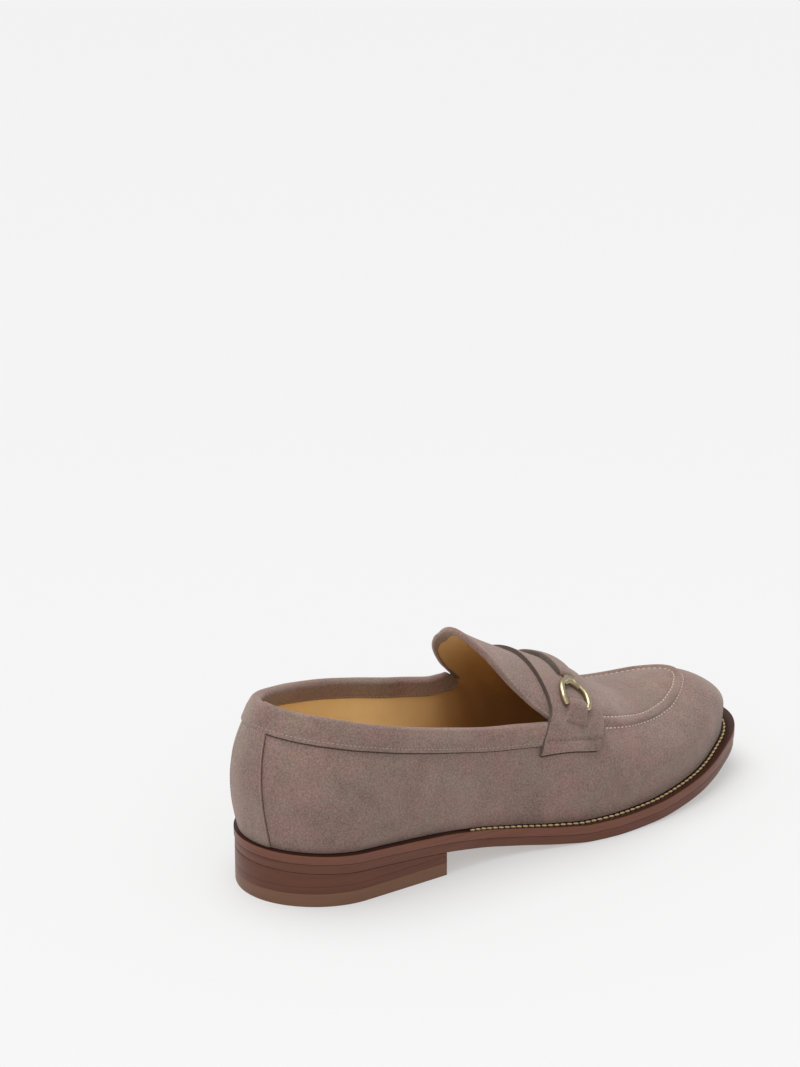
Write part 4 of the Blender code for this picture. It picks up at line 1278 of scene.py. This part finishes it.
class LOAFER_OT_stage(bpy.types.Operator):
    """Pale floor, soft studio light and the camera"""
    bl_idname = "loafer.stage"
    bl_label = "Floor, light and camera"

    def execute(self, context):
        scene = context.scene
        scene.view_settings.view_transform = "Standard"
        made, _, _ = material("studio_floor", 0.9, Base_Color=(*shades().floor, 1), Specular_IOR_Level=0.1,
                              Emission_Color=(1, 1, 1, 1), Emission_Strength=FLOOR_GLOW)
        mesh = bpy.data.meshes.new("floor")
        far = FLOOR_REACH
        mesh.from_pydata([(-far, -far, 0), (far, -far, 0), (far, far, 0), (-far, far, 0)], [], [(0, 1, 2, 3)])
        mesh.materials.append(made)
        floor = bpy.data.objects.new("floor", mesh)
        scene.collection.objects.link(floor)
        world = scene.world or bpy.data.worlds.new("studio")
        scene.world = world
        world.use_nodes = True
        back = world.node_tree.nodes["Background"]
        back.inputs[0].default_value = (1, 1, 1, 1)
        back.inputs[1].default_value = WORLD_LIGHT
        for name, kind, spot, aim, power, size in LAMPS:
            lamp = bpy.data.lights.new(name, kind)
            lamp.energy = power
            if kind == "SUN":
                lamp.angle = size
            else:
                lamp.size = size
            shown = bpy.data.objects.new(name, lamp)
            shown.location = spot
            shown.rotation_euler = (Vector(aim) - Vector(spot)).to_track_quat("-Z", "Y").to_euler()
            scene.collection.objects.link(shown)
        lens = bpy.data.cameras.new("camera")
        lens.lens, lens.sensor_width, lens.sensor_fit = CAMERA_LENS, 36.0, "AUTO"
        lens.clip_start, lens.clip_end = 0.05, 60.0
        camera = bpy.data.objects.new("camera", lens)
        camera.location = to_world(CAMERA_SPOT)
        camera.rotation_euler = [math.radians(angle) for angle in CAMERA_TURN]
        scene.collection.objects.link(camera)
        scene.camera = camera
        return {"FINISHED"}


MAKERS = (
    LOAFER_OT_sole, LOAFER_OT_heel, LOAFER_OT_insole, LOAFER_OT_upper, LOAFER_OT_collar_band, LOAFER_OT_backstay,
    LOAFER_OT_saddle, LOAFER_OT_bit_strap, LOAFER_OT_rings, LOAFER_OT_tabs, LOAFER_OT_apron_stitches, LOAFER_OT_stage,
)


class LOAFER_PT_panel(bpy.types.Panel):
    """Sizes, colours and makers of the loafer"""
    bl_idname = "LOAFER_PT_panel"
    bl_label = "Bit Loafer"
    bl_space_type = "VIEW_3D"
    bl_region_type = "UI"
    bl_category = "Loafer"

    def draw(self, context):
        for held in (context.scene.loafer_sizes, context.scene.loafer_colours):
            box = self.layout.box()
            for word in held.__annotations__:
                box.prop(held, word)
        for maker in MAKERS:
            self.layout.operator(maker.bl_idname)


CLASSES = (LoaferSizes, LoaferColours, *MAKERS, LOAFER_PT_panel)


def register():
    for each in CLASSES:
        bpy.utils.register_class(each)
    bpy.types.Scene.loafer_sizes = bpy.props.PointerProperty(type=LoaferSizes)
    bpy.types.Scene.loafer_colours = bpy.props.PointerProperty(type=LoaferColours)


def unregister():
    del bpy.types.Scene.loafer_colours
    del bpy.types.Scene.loafer_sizes
    for each in reversed(CLASSES):
        bpy.utils.unregister_class(each)


def main():
    register()
    for build in (nap_group, layer_group, grain_group, wear_group):
        build()
    for maker in MAKERS:
        category, word = maker.bl_idname.split(".")
        getattr(getattr(bpy.ops, category), word)()


if __name__ == "__main__":
    main()
